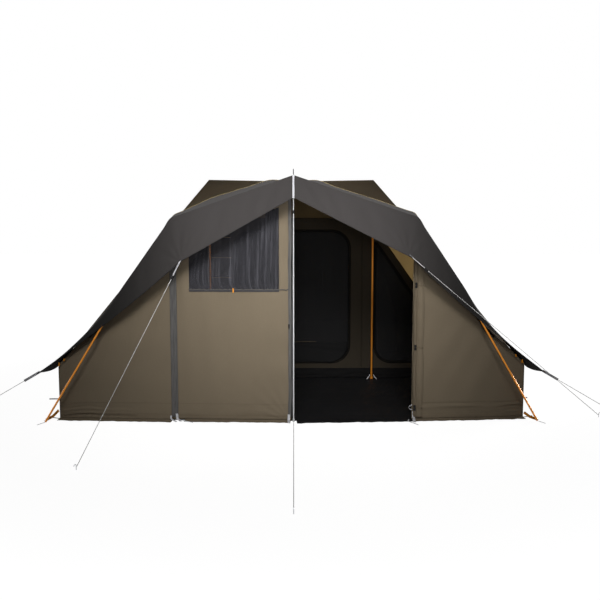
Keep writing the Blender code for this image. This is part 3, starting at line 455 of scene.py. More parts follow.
def bars(name, paths, radius, sides, finish, body="tent", stands_for=()):
    """Round bars along their paths in one piece, each with both ends closed, mapped round and along."""
    points, quads, ends, rounds, first = [], [], [], [], 0
    radii = radius if isinstance(radius, list) else [radius] * len(paths)
    for path, thick in zip(paths, radii):
        rings, turn = tube_rings(path, thick, sides)
        count = len(rings)
        points.append(rings.reshape(-1, 3))
        quads.append(grid_quads(count, sides, wrap=True).reshape(-1, 4) + first)
        ends += [np.arange(sides) + first, np.arange(sides)[::-1] + first + (count - 1) * sides]
        run = np.concatenate([[0], np.cumsum(np.linalg.norm(np.diff(path, axis=0), axis=1))])
        rounds.append(np.stack(np.broadcast_arrays(np.cos(turn)[None], np.sin(turn)[None], run[:, None]),
                               axis=-1).reshape(-1, 3))
        first += count * sides
    piece = new_mesh(name, np.concatenate(points), np.concatenate(quads), ends)
    piece.data.set_sharp_from_angle(angle=math.radians(35))
    set_attribute(piece, "round", np.concatenate(rounds), "FLOAT_VECTOR", "vector")
    return dress(piece, finish, body, stands_for)


def stepped(profile, foot_point):
    """The path and radii of an upright turned piece from its (radius, height) profile."""
    radii, heights = np.array(profile).T
    return np.array(foot_point) + np.outer(heights, [0, 0, 1.0]), radii


def drawn_metal(name, colour, metallic, roughness):
    """Drawn tube: fine lines along it, small changes of gloss, and paler rubbed spots."""
    made, shader, wire = new_material(name)
    mapped = wire.attribute("round", "Vector")
    place = wire.place()
    lines = mapped.stretched((9.0, 9.0, 1.2)).noise(4.0, 4.0, 0.7)
    rubbed = place.noise(14.0, 5.0, 0.7).rise(0.62, 0.78)
    dye = (rubbed * 0.25).blend(colour, tuple(min(1.0, c * 1.5 + 0.12) for c in colour))
    feed(shader, Base_Color=dye.dyed((lines - 0.5) * 0.24 + 1.0), Metallic=metallic,
         Roughness=(lines - 0.5) * 0.2 + roughness - rubbed * 0.06, Normal=lines.bump(0.0002, 0.5))
    return made


def moulded(name, colour):
    """Moulded plastic: a fine pebbled skin, slightly uneven gloss."""
    made, shader, wire = new_material(name)
    place = wire.place()
    pebbles, haze = place.noise(900.0, 2.0), place.noise(25.0, 3.0)
    feed(shader, Base_Color=wire.colour(colour).dyed(haze * 0.5 + 0.75), Roughness=haze * 0.2 + 0.4,
         Specular_IOR_Level=0.2, Normal=pebbles.bump(0.0002, 0.4))
    return made


steel = drawn_metal("bright steel", (0.55, 0.56, 0.58), 0.9, 0.32)
pole_orange = drawn_metal("orange anodised aluminium", (0.66, 0.235, 0.018), 0.5, 0.42)
black_plastic = moulded("black moulded plastic", (0.004, 0.004, 0.0043))

front_low, front_high = box("front_pole")
front_foot = (front_low + front_high) / 2 * [1, 1, 0]
TUBE_SIDES, FRONT_RADIUS, FRONT_BEAD, FRONT_FOOT_RADIUS = 28, 0.008, 0.0086, 0.012
front_path, front_radii = stepped([
    (0.009, 0.0), (FRONT_FOOT_RADIUS, 0.003), (FRONT_FOOT_RADIUS, 0.028), (0.0105, 0.032),
    (FRONT_RADIUS, 0.033), (FRONT_RADIUS, 0.74), (FRONT_BEAD, 0.742), (FRONT_BEAD, 0.752),
    (FRONT_RADIUS, 0.754), (FRONT_RADIUS, 1.50), (FRONT_BEAD, 1.502), (FRONT_BEAD, 1.512),
    (FRONT_RADIUS, 1.514), (FRONT_RADIUS, front_high[2]),
], front_foot)
bars("front_pole_tube", [front_path], [front_radii], TUBE_SIDES, steel, stands_for=["front_pole"])


def orange_tube(part, word, path, radius):
    """A length of orange tube, in place of the solid of the same name."""
    bars(f"{part}_tube_{word}", [path], [radius], TUBE_SIDES, pole_orange,
         stands_for=[f"{part}_{word}"])


MAIN_RADIUS, MAIN_FOOT_RADIUS = 0.0125, 0.02
for side, word in WORDS.items():
    pole_low, pole_high = box(f"main_pole_lower_{word}")
    upper_low, upper_high = box(f"main_pole_upper_{word}")
    pole_foot = (pole_low + pole_high) / 2 * [1, 1, 0]
    joint = pole_high[2]
    lower_path, lower_radii = stepped([
        (MAIN_FOOT_RADIUS - 0.003, pole_low[2]), (MAIN_FOOT_RADIUS, pole_low[2] + 0.003),
        (MAIN_FOOT_RADIUS, 0.027), (MAIN_RADIUS + 0.002, 0.034),
        (MAIN_RADIUS, 0.035), (MAIN_RADIUS, joint - 0.034),
        (MAIN_RADIUS + 0.0009, joint - 0.031), (MAIN_RADIUS + 0.0009, joint - 0.002), (MAIN_RADIUS, joint),
    ], pole_foot)
    upper_path, upper_radii = stepped([
        (MAIN_RADIUS - 0.0015, upper_low[2]), (MAIN_RADIUS - 0.0015, joint + 0.0003),
        (MAIN_RADIUS, joint + 0.0003), (MAIN_RADIUS, upper_high[2] - 0.036),
        (MAIN_RADIUS - 0.002, upper_high[2] - 0.034), (0.006, upper_high[2] - 0.020),
        (0.003, upper_high[2] - 0.012), (0.003, upper_high[2]),
    ], pole_foot)
    orange_tube("main_pole_lower", word, lower_path, lower_radii)
    orange_tube("main_pole_upper", word, upper_path, upper_radii)

# Arch: two legs bent at the knee, two shoulder sleeves and two top rails, all orange tube, and the black
# moulded hub that takes the rails and the front pole and ends in a spike. Bends are arcs between straight
# runs, and the arch stands in one upright plane just in front of the wall.

HUB_RADIUS, TUBE_RADIUS = 0.014, 0.0095
SHOULDER = {LEFT: (1.130, 1.947), RIGHT: (1.178, 1.954)}
KNEE = {LEFT: (1.564, 1.345), RIGHT: (1.611, 1.319)}
FOOT_HALF = 2.385
KNEE_BEND, TUBE_GAP, ARM_REACH = 0.25, 0.03, 0.018
arch_depth = front_foot[1]
hub = np.array([front_foot[0], arch_depth, front_high[2] + 2 * HUB_RADIUS])


def arch_spot(side, pair):
    """A bend of the arch as a place: its distance from the middle and its height."""
    return np.array([side * pair[0], arch_depth, pair[1]])


def bend(before, corner, after, radius, steps=16):
    """An arc that rounds a corner: points turned about the arc's centre in equal steps."""
    into, out = unit(corner - before), unit(after - corner)
    turn = math.acos(float(np.clip(into @ out, -1, 1)))
    centre = corner + unit(out - into) * radius / math.cos(turn / 2)
    first = corner - into * radius * math.tan(turn / 2) - centre
    side_way = unit(first - into * (first @ into))
    angles = np.linspace(0, turn, steps + 1)[:, None]
    return centre + radius * (side_way * np.cos(angles) + into * np.sin(angles))


for side, word in WORDS.items():
    shoulder, knee = arch_spot(side, SHOULDER[side]), arch_spot(side, KNEE[side])
    foot_spot = arch_spot(side, (FOOT_HALF, 0.0))
    down, along = unit(knee - shoulder), unit(hub - shoulder)
    rise = unit(knee - foot_spot)
    foot_end = foot_spot + rise * TUBE_RADIUS * math.hypot(rise[0], rise[1]) / rise[2]
    knee_arc = bend(foot_end, knee, shoulder, KNEE_BEND)
    lower = np.linspace(foot_end, knee_arc[0], 12)[:-1]
    leg = np.concatenate([lower, knee_arc, [shoulder + down * TUBE_GAP]])
    orange_tube("side_leg", word, leg, TUBE_RADIUS)
    rail = np.linspace(shoulder + along * TUBE_GAP, hub - along * ARM_REACH, 6)
    orange_tube("top_rail", word, rail, TUBE_RADIUS)
    refinish(f"shoulder_sleeve_{word}", pole_orange)
refinish("peak_hub", black_plastic)

# Tent body: side and rear walls, the front panels beside the doorway, the gable over it and the roof, in one
# brown polycotton; the roof's copies of it are coloured darker than the walls, which is painted shade. Each
# panel is tight between straight seams and hollows slightly inwards, with soft creases that die out at the
# seams. The roof lets a little light through, its rear part less.


def between(folds, columns):
    """For each column, 4 s (1 - s) of its share s of the way between the two folds beside it."""
    share = np.zeros(columns)
    for first, last in zip(folds[:-1], folds[1:]):
        share[first:last + 1] = np.linspace(0, 1, last - first + 1)
    return 4 * share * (1 - share)


def taut(grid, folds, sag, crease, seed):
    """A panel drawn tight: hollowed by sag in its middle, with soft creases of irregular waves."""
    level = np.linspace(0, 1, len(grid))[:, None]
    middle = between(folds, grid.shape[1])[None] * 4 * level * (1 - level)
    across, along = arc_lengths(grid, 1), arc_lengths(grid, 0)
    soft = waves(across + along * 0.35, 0.42, seed) + 0.7 * waves(along - across * 0.12, 0.55, seed + 1)
    return pushed(grid, crease * soft * np.sqrt(middle) - sag * middle)


def puckered(grid, depth, length, seed):
    """Small gathers at the foot of a panel: waves along it that rise just above it and die out."""
    across, along = arc_lengths(grid, 1), arc_lengths(grid, 0)
    near_foot = along / 0.02 * np.exp(1 - along / 0.02)
    still = np.minimum(1, from_ends(across, 1) / 0.03) * np.minimum(1, (along[-1:] - along) / 0.03)
    return pushed(grid, depth * near_foot * waves(across, length, seed) * still)


cotton = woven("brown polycotton", (0.195, 0.158, 0.110), 0.0011, 0.92, 0.07, 0.0003, 0.5, darken_low=0.06)
# Two copies of the same cotton for the roof, coloured darker than the walls: painted shade. The rear copy
# lets less light through.
shaded_roof_cotton = woven("brown polycotton roof, painted darker", (0.110, 0.088, 0.060), 0.0011, 0.92, 0.08, 0.0003, 0.5,
                    glow=(0.75, 0.61, 0.38))
shaded_rear_cotton = woven("brown polycotton rear roof, painted darker", (0.110, 0.088, 0.060), 0.0011, 0.92, 0.08, 0.0003, 0.5,
                    glow=(0.50, 0.405, 0.25))
WALL_HEM, HEM_WAVE = 0.165, 0.0058


def hem_ripples(grid, seed):
    """Level ripples below the sewn line above the hem: waves of height, fading along the wall."""
    across, height = arc_lengths(grid, 1), grid[..., 2]
    inside = np.clip(height / 0.03, 0, 1) * np.clip((WALL_HEM - height) / 0.02, 0, 1)
    strength = 0.6 + 0.4 * waves(across, 0.8, seed)
    level = waves(height + 0.012 * waves(across, 0.7, seed + 1), 0.062, seed + 2)
    return pushed(grid, HEM_WAVE * level * inside * strength * np.minimum(1, from_ends(across, 1) / 0.05))


WALLS = {
    "wall_front_left": [("corner", LEFT), ("side", LEFT)],
    "wall_back_left": [("side", LEFT), ("back", LEFT)],
    "wall_rear": [("back", LEFT), ("back", RIGHT)],
    "wall_back_right": [("back", RIGHT), ("side", RIGHT)],
    "wall_front_right": [("side", RIGHT), ("corner", RIGHT)],
}
for number, (node, keys) in enumerate(WALLS.items()):
    top, folds = corner_line(keys, 0.03)
    grid = ruled(top * [1, 1, 0], top, 22)
    grid = hem_ripples(taut(grid, folds, 0.006, 0.003, 10 + number), 40 + number)
    cloth(f"{node}_cloth", grid, cotton, stands_for=[node])

SEAM_LEVELS, FLAP_WIDTH, FLAP_OUT = (0.058, WALL_HEM), 0.082, 0.006


def level_line(grid, height):
    """The line on a wall at one height, read column by column."""
    return np.array([[np.interp(height, column[:, 2], column[:, axis]) for axis in range(3)]
                     for column in np.moveaxis(grid, 1, 0)])


def mud_flap(name, foot_line, out, low, seed, finish, body="tent"):
    """A strip along the foot of a wall: it turns out from the wall and lies on the ground, a little wavy."""
    share = np.linspace(1, 0, 8)[:, None]
    along = arc_lengths(foot_line[None], 1)
    width = FLAP_WIDTH * (1 + 0.06 * waves(along, 0.45, seed))
    spots = foot_line[None] + out * (FLAP_OUT + width * share)[..., None]
    rise = low + 0.010 * (1 - share) ** 3 + 0.0014 * (1 + waves(along, 0.12, seed + 1)) * share
    cloth(name, spots + rise[..., None] * [0, 0, 1], finish, body)


for side, word in WORDS.items():
    top, folds = corner_line([("post", side), ("eave", side), ("corner", side)][::-side], 0.018)
    grid = ruled(top * [1, 1, 0], top, 96)
    grid = puckered(taut(grid, [0, folds[-1]], 0.012, 0.0055, 20 + side), 0.0025, 0.09, 30 + side)
    grid = hem_ripples(grid, 50 + side)
    cloth(f"front_panel_cloth_{word}", grid, cotton,
          stands_for=[f"front_panel_{word}"])
    seam_lines = [level_line(grid + facings(grid) * 0.0008, level)[1:-1] for level in SEAM_LEVELS]
    bars(f"front_panel_seams_{word}", seam_lines, 0.0022, 8, cotton)
    flap_line = grid[0] * [1, 1, 0]
    mud_flap(f"front_panel_flap_{word}", flap_line, unit(facings(grid)[0] * [1, 1, 0]), 0.0022, 160 + side,
             cotton)


def resampled(line, count):
    """A line through places, read at a number of even steps."""
    steps = np.linspace(0, len(line) - 1, count)
    return np.stack([np.interp(steps, np.arange(len(line)), line[:, axis]) for axis in range(3)], axis=-1)


gable_top, _ = corner_line([("post", RIGHT), "gable", ("post", LEFT)], 0.02)
gable_low, _ = corner_line([("lintel", RIGHT), "lintel", ("lintel", LEFT)], 0.02)
gable_grid = ruled(resampled(gable_low, len(gable_top)), gable_top, 9)
cloth("door_gable_cloth", gable_grid, cotton, stands_for=["door_gable"])

ROOFS = {
    "roof_left": (["post", "eave", "corner", "side"], LEFT, 0.020),
    "roof_right": (["post", "eave", "corner", "side"], RIGHT, 0.020),
    "roof_back_left": (["side", "back"], LEFT, 0.028),
    "roof_back_right": (["side", "back"], RIGHT, 0.028),
}
for number, (node, (names, side, sag)) in enumerate(ROOFS.items()):
    edge, folds = corner_line([(name, side) for name in names][::-side], 0.03)
    grid = taut(ruled(edge, CORNERS["peak", side], 80), folds, sag, 0.003, 60 + number)
    cloth(f"{node}_cloth", grid, shaded_roof_cotton, stands_for=[node])

for side in (RIGHT, LEFT):
    edge, folds = corner_line(["ridge", "gable", ("post", side)][::-side], 0.03)
    grid = taut(ruled(edge, CORNERS["peak", side], 56), folds, 0.014, 0.002, 70)
    cloth(f"roof_front_cloth_{WORDS[side]}", grid, shaded_roof_cotton, stands_for=["roof_front"])

rear_low, folds = corner_line([("back", LEFT), ("back", RIGHT)], 0.03)
ridge_line = np.array([CORNERS["peak", LEFT], CORNERS["ridge"], CORNERS["peak", RIGHT]])
rear_grid = taut(ruled(rear_low, resampled(ridge_line, len(rear_low)), 84), folds, 0.035, 0.004, 80)
cloth("roof_rear_cloth", rear_grid, shaded_rear_cotton, stands_for=["roof_rear"])

SEAM_RADIUS, SEAM_FOOT = 0.0028, 0.004
SEAMS = [["gable", "ridge"], [("back", LEFT), ("back", RIGHT)], [("peak", LEFT), "ridge", ("peak", RIGHT)]]
for side in WORDS:
    SEAMS += [[("post", side), "gable"], ["gable", ("peak", side)]]
    SEAMS += [[(name, side), ("peak", side)] for name in ("post", "corner", "side", "back")]
    SEAMS.append([(name, side) for name in ("post", "eave", "corner", "side", "back")])
seam_paths = [np.linspace(CORNERS[first], CORNERS[last], 3)
              for keys in SEAMS for first, last in zip(keys[:-1], keys[1:])]
seam_paths += [np.linspace(CORNERS[name, side] * [1, 1, 0] + [0, 0, SEAM_FOOT], CORNERS[name, side], 3)
               for name in ("corner", "side", "back") for side in WORDS]
bars("body_seams", seam_paths, SEAM_RADIUS, 10, cotton)

# Doorway, left half: a closed leaf of the same cloth, zipped up the post and at the middle, with a hemmed net
# window whose top follows the sloping lintel. Grey strips cover the zips. Inside the window a dark cloth
# hangs in upright folds at one end, for dark upright bands behind the net whose cause is not known. Flaps of
# cloth and groundsheet lie on the ground along the doorway.

ZIP_GAP, CLOSING_GAP, LEAF_SILL, TOP_GAP = 0.003, 0.012, 0.012, 0.004
WINDOW_TOP_MARGIN, NET_LAP, WINDOW_CALM = 0.055, 0.012, 0.07
hinge_foot, middle_foot = foot(("post", LEFT)), foot("gable")
door_along = unit(middle_foot - hinge_foot)
door_out = np.cross(door_along, [0, 0, 1.0])
door_length = float(np.linalg.norm(middle_foot - hinge_foot))
lintel_side, lintel_middle = CORNERS["lintel", LEFT][2], CORNERS["lintel"][2]


def on_plane(start, along_way, out_way, along, height, out):
    """Places on an upright plane: along it from its start, up, and out towards the front."""
    along, height, out = np.broadcast_arrays(along, height, out)
    return (start + along[..., None] * along_way + out[..., None] * out_way
            + height[..., None] * np.array([0, 0, 1.0]))


def on_door(along, height, out=0.0):
    """Places on the leaf, from its hinge post."""
    return on_plane(hinge_foot, door_along, door_out, along, height, out)


def lintel_height(along):
    """The sloping lintel's height over a place along the leaf."""
    return lintel_side + (lintel_middle - lintel_side) * along / door_length


def stretches(stops, spacing):
    """Numbers between stops in equal steps of about the spacing, with the index of each stop."""
    spots, ends = polyline(np.array([[stop, 0, 0] for stop in stops]), spacing)
    return spots[:, 0], ends


net_low, net_high = box("door_window_net")


def door_share(x):
    """How far along the leaf a place is, from its X."""
    return float((x - hinge_foot[0]) / door_along[0])


window_start, window_end, window_sill = door_share(net_low[0]), door_share(net_high[0]), float(net_low[2])
leaf_end = door_length - CLOSING_GAP

spots_along, stops_along = stretches([leaf_end, window_end, window_start, ZIP_GAP], 0.012)
levels, stops_up = stretches([0, 1, 2, 3], 1 / 90)
along_grid, level_grid = np.meshgrid(spots_along, levels)
lintel = lintel_height(along_grid)
window_top = lintel - WINDOW_TOP_MARGIN
heights = np.select([level_grid < 1, level_grid < 2],
                    [LEAF_SILL + (window_sill - LEAF_SILL) * level_grid,
                     window_sill + (window_top - window_sill) * (level_grid - 1)],
                    window_top + (WINDOW_TOP_MARGIN - TOP_GAP) * (level_grid - 2))
lift = 0.006 * waves(along_grid + heights * 0.05, 0.36, 90) * np.clip(heights / 0.3, 0, 1) ** 0.5
lift += 0.0034 * waves(along_grid - heights * 0.5, 0.15, 91) * np.exp(-heights / 0.25)
corner_pull = np.exp(-np.hypot(leaf_end - along_grid, heights) / 0.35)
lift += 0.004 * corner_pull * np.sin(np.arctan2(heights, leaf_end - along_grid + 1e-6) * 22)
near_zip = np.maximum(leaf_end - along_grid - 0.022, 0) / 0.04
lift += 0.0075 * near_zip * np.exp(1 - near_zip) * waves(heights, 0.5, 92)
still = np.minimum(np.minimum(along_grid - ZIP_GAP, leaf_end - along_grid) / 0.03, 1)
still = still * np.minimum(1, (lintel - TOP_GAP - heights) / 0.05) * np.clip(heights / 0.02, 0, 1)
to_sill = window_sill - heights
beside = np.max([along_grid - window_end, window_start - along_grid, to_sill, heights - window_top], axis=0)
still = still * np.clip(beside / WINDOW_CALM, 0, 1)
under_sill = np.clip(to_sill / 0.012, 0, 1) * np.exp(-np.maximum(to_sill, 0) / 0.05)
under_sill = under_sill * ((along_grid > window_start) & (along_grid < window_end))
pucker = 0.0016 * waves(along_grid, 0.045, 93) * under_sill
leaf_grid = hem_ripples(on_door(along_grid, heights, lift * still + pucker), 94)
hole = np.zeros((len(levels) - 1, len(spots_along) - 1), bool)
hole[stops_up[1]:stops_up[2], stops_along[1]:stops_along[2]] = True
cloth("door_leaf_cloth", leaf_grid, cotton, "door_leaf", ["door_leaf_left"],
      hole)
door_seams = []
for seam_level in SEAM_LEVELS:
    row = int(np.argmin(np.abs(heights[:, 0] - seam_level)))
    door_seams.append((leaf_grid[row] + door_out * 0.0008)[2:-2])
bars("door_seams", door_seams, 0.0024, 8, cotton, "door_leaf")
FLAP_START, DOOR_FLAP_LOW, LIP_START = 0.12, 0.0075, 0.040
flap_along, _ = stretches([leaf_end - 0.004, FLAP_START], 0.02)
mud_flap("door_flap", on_door(flap_along, np.zeros_like(flap_along)), door_out, DOOR_FLAP_LOW, 164, cotton,
         "door_leaf")
lip_line, _ = polyline(np.array([foot(("post", RIGHT)), foot("gable")]), 0.02)
lip_line = lip_line[lip_line[:, 0] > LIP_START]
mud_flap("groundsheet_lip", lip_line, door_out * [-1, 1, 1], 0.0022, 166, black_sheeting)


def netting(name, colour, thread, cover, slack_sheen):
    """Fine netting: see-through between its threads, with paler bands where it is slack, which are painted
    sheen; there the net is also a little denser.
    """
    made, shader, wire = new_material(name)
    threads, cloth_map = weave(wire, thread)
    soft = cloth_map.stretched((38.0, 1.3, 1.0)).noise(1.0, 3.0, 0.6)
    cloud = cloth_map.noise(2.5, 3.0)
    dye = wire.colour(colour)
    # Paler bands where the net is slack: painted sheen.
    shade = 1.0 + (cloud - 0.5) * 0.25 + soft.rise(0.45, 0.75) * slack_sheen
    alpha = threads.rise(-0.4, 0.9, cover - 0.12, cover + 0.12) + (soft - 0.5) * (0.2 * min(1.0, slack_sheen))
    feed(shader, Base_Color=dye.dyed(shade), Roughness=0.8, Alpha=alpha, Specular_IOR_Level=0.2,
         Normal=threads.bump(0.0004, 0.6))
    return made


def strap(name, path, across, width, finish, body="tent", stands_for=(), thickness=0.0014, columns=5):
    """A flat band of webbing or tape: its path, spread to both sides along the across direction."""
    path = np.asarray(path, float)
    across = np.broadcast_to(np.asarray(across, float), path.shape)
    share = np.linspace(-0.5, 0.5, columns)[None, :, None]
    grid = path[:, None] + across[:, None] * share * width
    piece = new_mesh(name, grid, grid_quads(*grid.shape[:2]).reshape(-1, 4))
    run = arc_lengths(grid, 0)
    from_edge = np.broadcast_to(width / 2 - np.abs(share[..., 0] * width), run.shape)
    map_cloth(piece, arc_lengths(grid, 1), run, from_edge, run)
    thicken(piece, thickness)
    return dress(piece, finish, body, stands_for)


RIB_LENGTH = 0.0022


def webbing(name, colour, gloss=0.3, painted_crease_shade=0.0):
    """Woven webbing or tape: ribs across it, a firm edge, and fine fibres; where asked, light and dark bands
    for creases, which are painted shade and highlights.
    """
    made, shader, wire = new_material(name)
    cloth_map = wire.cloth_map()
    ribs, warp = cloth_map.part(1).cycles(RIB_LENGTH), cloth_map.part(0).cycles(RIB_LENGTH * 1.3)
    fibres = cloth_map.stretched((900.0, 60.0, 1.0)).noise(1.0, 2.0)
    clouds = wire.place().noise(9.0, 3.0)
    edge = wire.attribute("seam").rise(0.0024, 0.0012)
    creases = cloth_map.stretched((70.0, 5.0, 1.0)).noise(1.0, 3.0, 0.6)
    shade = 1.0 + ribs * 0.05 + (fibres - 0.5) * 0.16 + (clouds - 0.5) * 0.16 - edge * 0.12
    # Light and dark bands that stand for creases: painted shade and highlights.
    shade = shade + (creases - 0.5) * painted_crease_shade
    height = ribs * 0.5 + warp * 0.25 + fibres * 0.3 + edge * 0.4
    feed(shader, Base_Color=wire.colour(colour).dyed(shade), Roughness=0.8, Normal=height.bump(0.0004, 0.7),
         Specular_IOR_Level=gloss)
    return made


window_netting = netting("charcoal window net", (0.071, 0.070, 0.080), 0.0016, 0.27, 1.6)
net_across, _ = stretches([window_end + NET_LAP, window_start - NET_LAP], 0.006)
across_grid, level_grid = np.meshgrid(net_across, np.linspace(0, 1, 90))
net_top = lintel_height(across_grid) - WINDOW_TOP_MARGIN + NET_LAP
net_height = window_sill - NET_LAP + (net_top - window_sill + NET_LAP) * level_grid
from_sill = net_height - window_sill
inside = np.min([across_grid - window_start, window_end - across_grid, from_sill,
                 lintel_height(across_grid) - WINDOW_TOP_MARGIN - net_height], axis=0)
free = np.clip(inside / 0.05, 0, 1)
gather = 0.0042 * np.sin(across_grid * 2 * np.pi / 0.027 + 1.5 * waves(across_grid, 0.13, 95))
gather = gather * np.exp(-np.maximum(from_sill, 0) / 0.05) * np.clip(inside / 0.01, 0, 1)
drape = 0.0040 * waves(across_grid + 0.05 * waves(net_height, 0.5, 96), 0.11, 97) * free
net_grid = on_door(across_grid, net_height, -0.0018 - 0.005 * free + gather + drape)
cloth("window_net", net_grid, window_netting, "door_leaf", ["door_window_net"],
      thickness=0.0005)

# The sill binding and the net hem carry light and dark crease bands in their colour: painted shade and
# highlights.
sill_tape = webbing("sill binding", (0.085, 0.079, 0.072), painted_crease_shade=0.8)
sill_along, _ = stretches([leaf_end - 0.022, window_start - 0.004], 0.005)
sill_height = window_sill + 0.003 + 0.0022 * waves(sill_along, 0.05, 101)
strap("window_sill_binding", on_door(sill_along, sill_height, 0.0052 + 0.001 * waves(sill_along, 0.04, 102)),
      [0, 0, 1], 0.010, sill_tape, "door_leaf", columns=4)
hem_along, _ = stretches([window_end, window_start], 0.005)
hem_tape = webbing("dark net hem", (0.045, 0.044, 0.048), painted_crease_shade=1.2)
hem_path = on_door(hem_along, window_sill - 0.0085, 0.0050 + 0.001 * waves(hem_along, 0.04, 103))
strap("window_net_hem", hem_path, [0, 0, 1], 0.019, hem_tape, "door_leaf", columns=6)

# A dark cloth in upright folds behind the net at one end, for dark upright bands whose cause is not known.
dark_fold_cloth = woven("dark folded cloth", (0.020, 0.020, 0.021), 0.0012, 0.9, 0.1, 0.0003, 0.2)
fold_cloth_across, _ = stretches([window_end + 0.012, window_end - 0.13], 0.0035)
across_grid, level_grid = np.meshgrid(fold_cloth_across, np.linspace(0, 1, 60))
fold_cloth_top = lintel_height(across_grid) - 0.035
fold_cloth_height = window_sill - 0.02 + (fold_cloth_top - window_sill + 0.02) * level_grid
fold_depth = 0.011 * (1.15 - 0.35 * level_grid)
folds = np.sin((window_end - across_grid) * 2 * np.pi / 0.034 + 0.9 * np.sin(fold_cloth_height * 3.1))
fold_cloth_grid = on_door(across_grid, fold_cloth_height, -0.022 + fold_depth * folds)
cloth("window_dark_folds", fold_cloth_grid, dark_fold_cloth, "door_leaf")


# The cover strips' light and dark crease bands are painted shade and highlights.
grey_tape = webbing("grey cover cloth", (0.098, 0.094, 0.091), painted_crease_shade=1.5)
COVER_OUT = 0.0022
cover_low, cover_high = box("zip_cover_left")
cover_middle = door_share((cover_low[0] + cover_high[0]) / 2)
cover_width = float((cover_high[0] - cover_low[0]) / door_along[0])
cover_levels = np.linspace(cover_low[2], cover_high[2], 120)
cover_path = on_door(cover_middle, cover_levels, COVER_OUT + 0.0012 * waves(cover_levels, 0.3, 98))
strap("zip_cover_tape_left", cover_path, -door_along, cover_width, grey_tape,
      stands_for=["zip_cover_left"], columns=9)
flap_low, flap_high = box("closing_flap")
flap_middle = door_share((flap_low[0] + flap_high[0]) / 2)
flap_width = float((flap_high[0] - flap_low[0]) / door_along[0])
flap_levels = np.linspace(flap_low[2], flap_high[2] - 0.010, 150)
flap_path = on_door(flap_middle + 0.002 * waves(flap_levels, 0.6, 99), flap_levels, COVER_OUT + 0.001)
strap("closing_flap_tape", flap_path, -door_along, flap_width - 0.004, grey_tape,
      "door_leaf", ["closing_flap"], columns=9)

# Protector sheet: hood, shoulders and wings in one piece of charcoal coated polyester, drawn over the arch
# and out to a point on each side. Its sections run from the front edge, round the tube, to the trailing edge;
# smooth curves carry them along the arch. The front edge ripples a little and the trailing edge is bound.

ARCH_BEFORE_WALL = 0.13
front_line = arch_depth + ARCH_BEFORE_WALL
HOOD_REACH, HOOD_DROP, HOOD_CORNER_REACH = 0.33, 0.202, 0.30
HOOD_CORNER_IN, HOOD_CORNER_DROP = {LEFT: 0.095, RIGHT: 0.073}, {LEFT: 0.395, RIGHT: 0.366}
TRAIL_DEPTH, TRAIL_LIFT, TRAIL_LIFT_SIDE, TRAIL_LIFT_WING = 0.30, 0.008, 0.055, 0.014
TRAIL_CORNER_OUT, TRAIL_CORNER_RISE = {LEFT: 0.054, RIGHT: 0.056}, {LEFT: 0.054, RIGHT: 0.067}
TRAIL_RISE_START, TRAIL_RISE_END = 0.1, 0.68
CREST_LIFT, CREST_ROUND = 0.0168, 0.03
TIP_HALF, TIP_HEIGHT, TIP_WIDTH = 2.49, 0.456, 0.05
TIP_SAG, FRONT_SAG = {LEFT: (0.093, 0.4), RIGHT: (0.100, 1.0)}, 0.038
HOOD_SHARES = (0, 0.06, 0.17, 0.36, 0.52, 0.68, 0.84, 0.93)
WING_STATIONS = ((0.0, 0.0, 1.0), (0.05, 0.16, 1.0), (0.12, 0.42, 1.0), (0.21, 0.7, 1.0), (0.31, 1.0, 0.96),
                 (0.43, 1.2, 0.85), (0.56, 1.42, 0.66), (0.69, 1.62, 0.42), (0.82, 1.8, 0.0),
                 (0.91, 1.9, 0.0), (1.0, 2.0, 0.0))
TRAIL_JOINS_TIP = 0.82
TRAIL_NEAR_TIP = {TRAIL_JOINS_TIP: (0.155, 0.055, 0.036), 0.91: (0.08, 0.045, 0.008), 1.0: (0, 0.025, -0.002)}
ROOF_FACES = [("gable", ("peak", LEFT), ("post", LEFT)), ("gable", "ridge", ("peak", LEFT)),
              (("post", LEFT), ("peak", LEFT), ("eave", LEFT)),
              (("eave", LEFT), ("peak", LEFT), ("corner", LEFT)),
              (("corner", LEFT), ("peak", LEFT), ("side", LEFT))]


def roof_height(x, y):
    """The height of the roof's flat faces over a place in plan. Both halves have the same faces."""
    side = RIGHT if x > 0 else LEFT
    for face in ROOF_FACES:
        a, b, c = [CORNERS[(key[0], side)] if isinstance(key, tuple) else CORNERS[key] for key in face]
        weights = np.linalg.solve(np.array([[a[0], b[0], c[0]], [a[1], b[1], c[1]], [1, 1, 1]]), [x, y, 1])
        if weights.min() > -1e-6:
            return float(weights @ [a[2], b[2], c[2]])
    return 0.0


def arch_frame(share, part, side):
    """A place on the arch's middle line, its direction and its outward normal, mitred at the bends."""
    bends = [hub, *(arch_spot(side, spot) for spot in (SHOULDER[side], KNEE[side], (FOOT_HALF, 0.0)))]
    runs = [unit(after - before) for before, after in zip(bends[:-1], bends[1:])]
    into = out = runs[part]
    if share == 0:
        into = runs[part - 1] if part else out * [1, 1, -1]
    elif share == 1:
        out = runs[part + 1]
    along = unit(into + out)
    normal = np.cross(along, [0, side, 0]) / (along @ out)
    return bends[part] + (bends[part + 1] - bends[part]) * share, along, normal


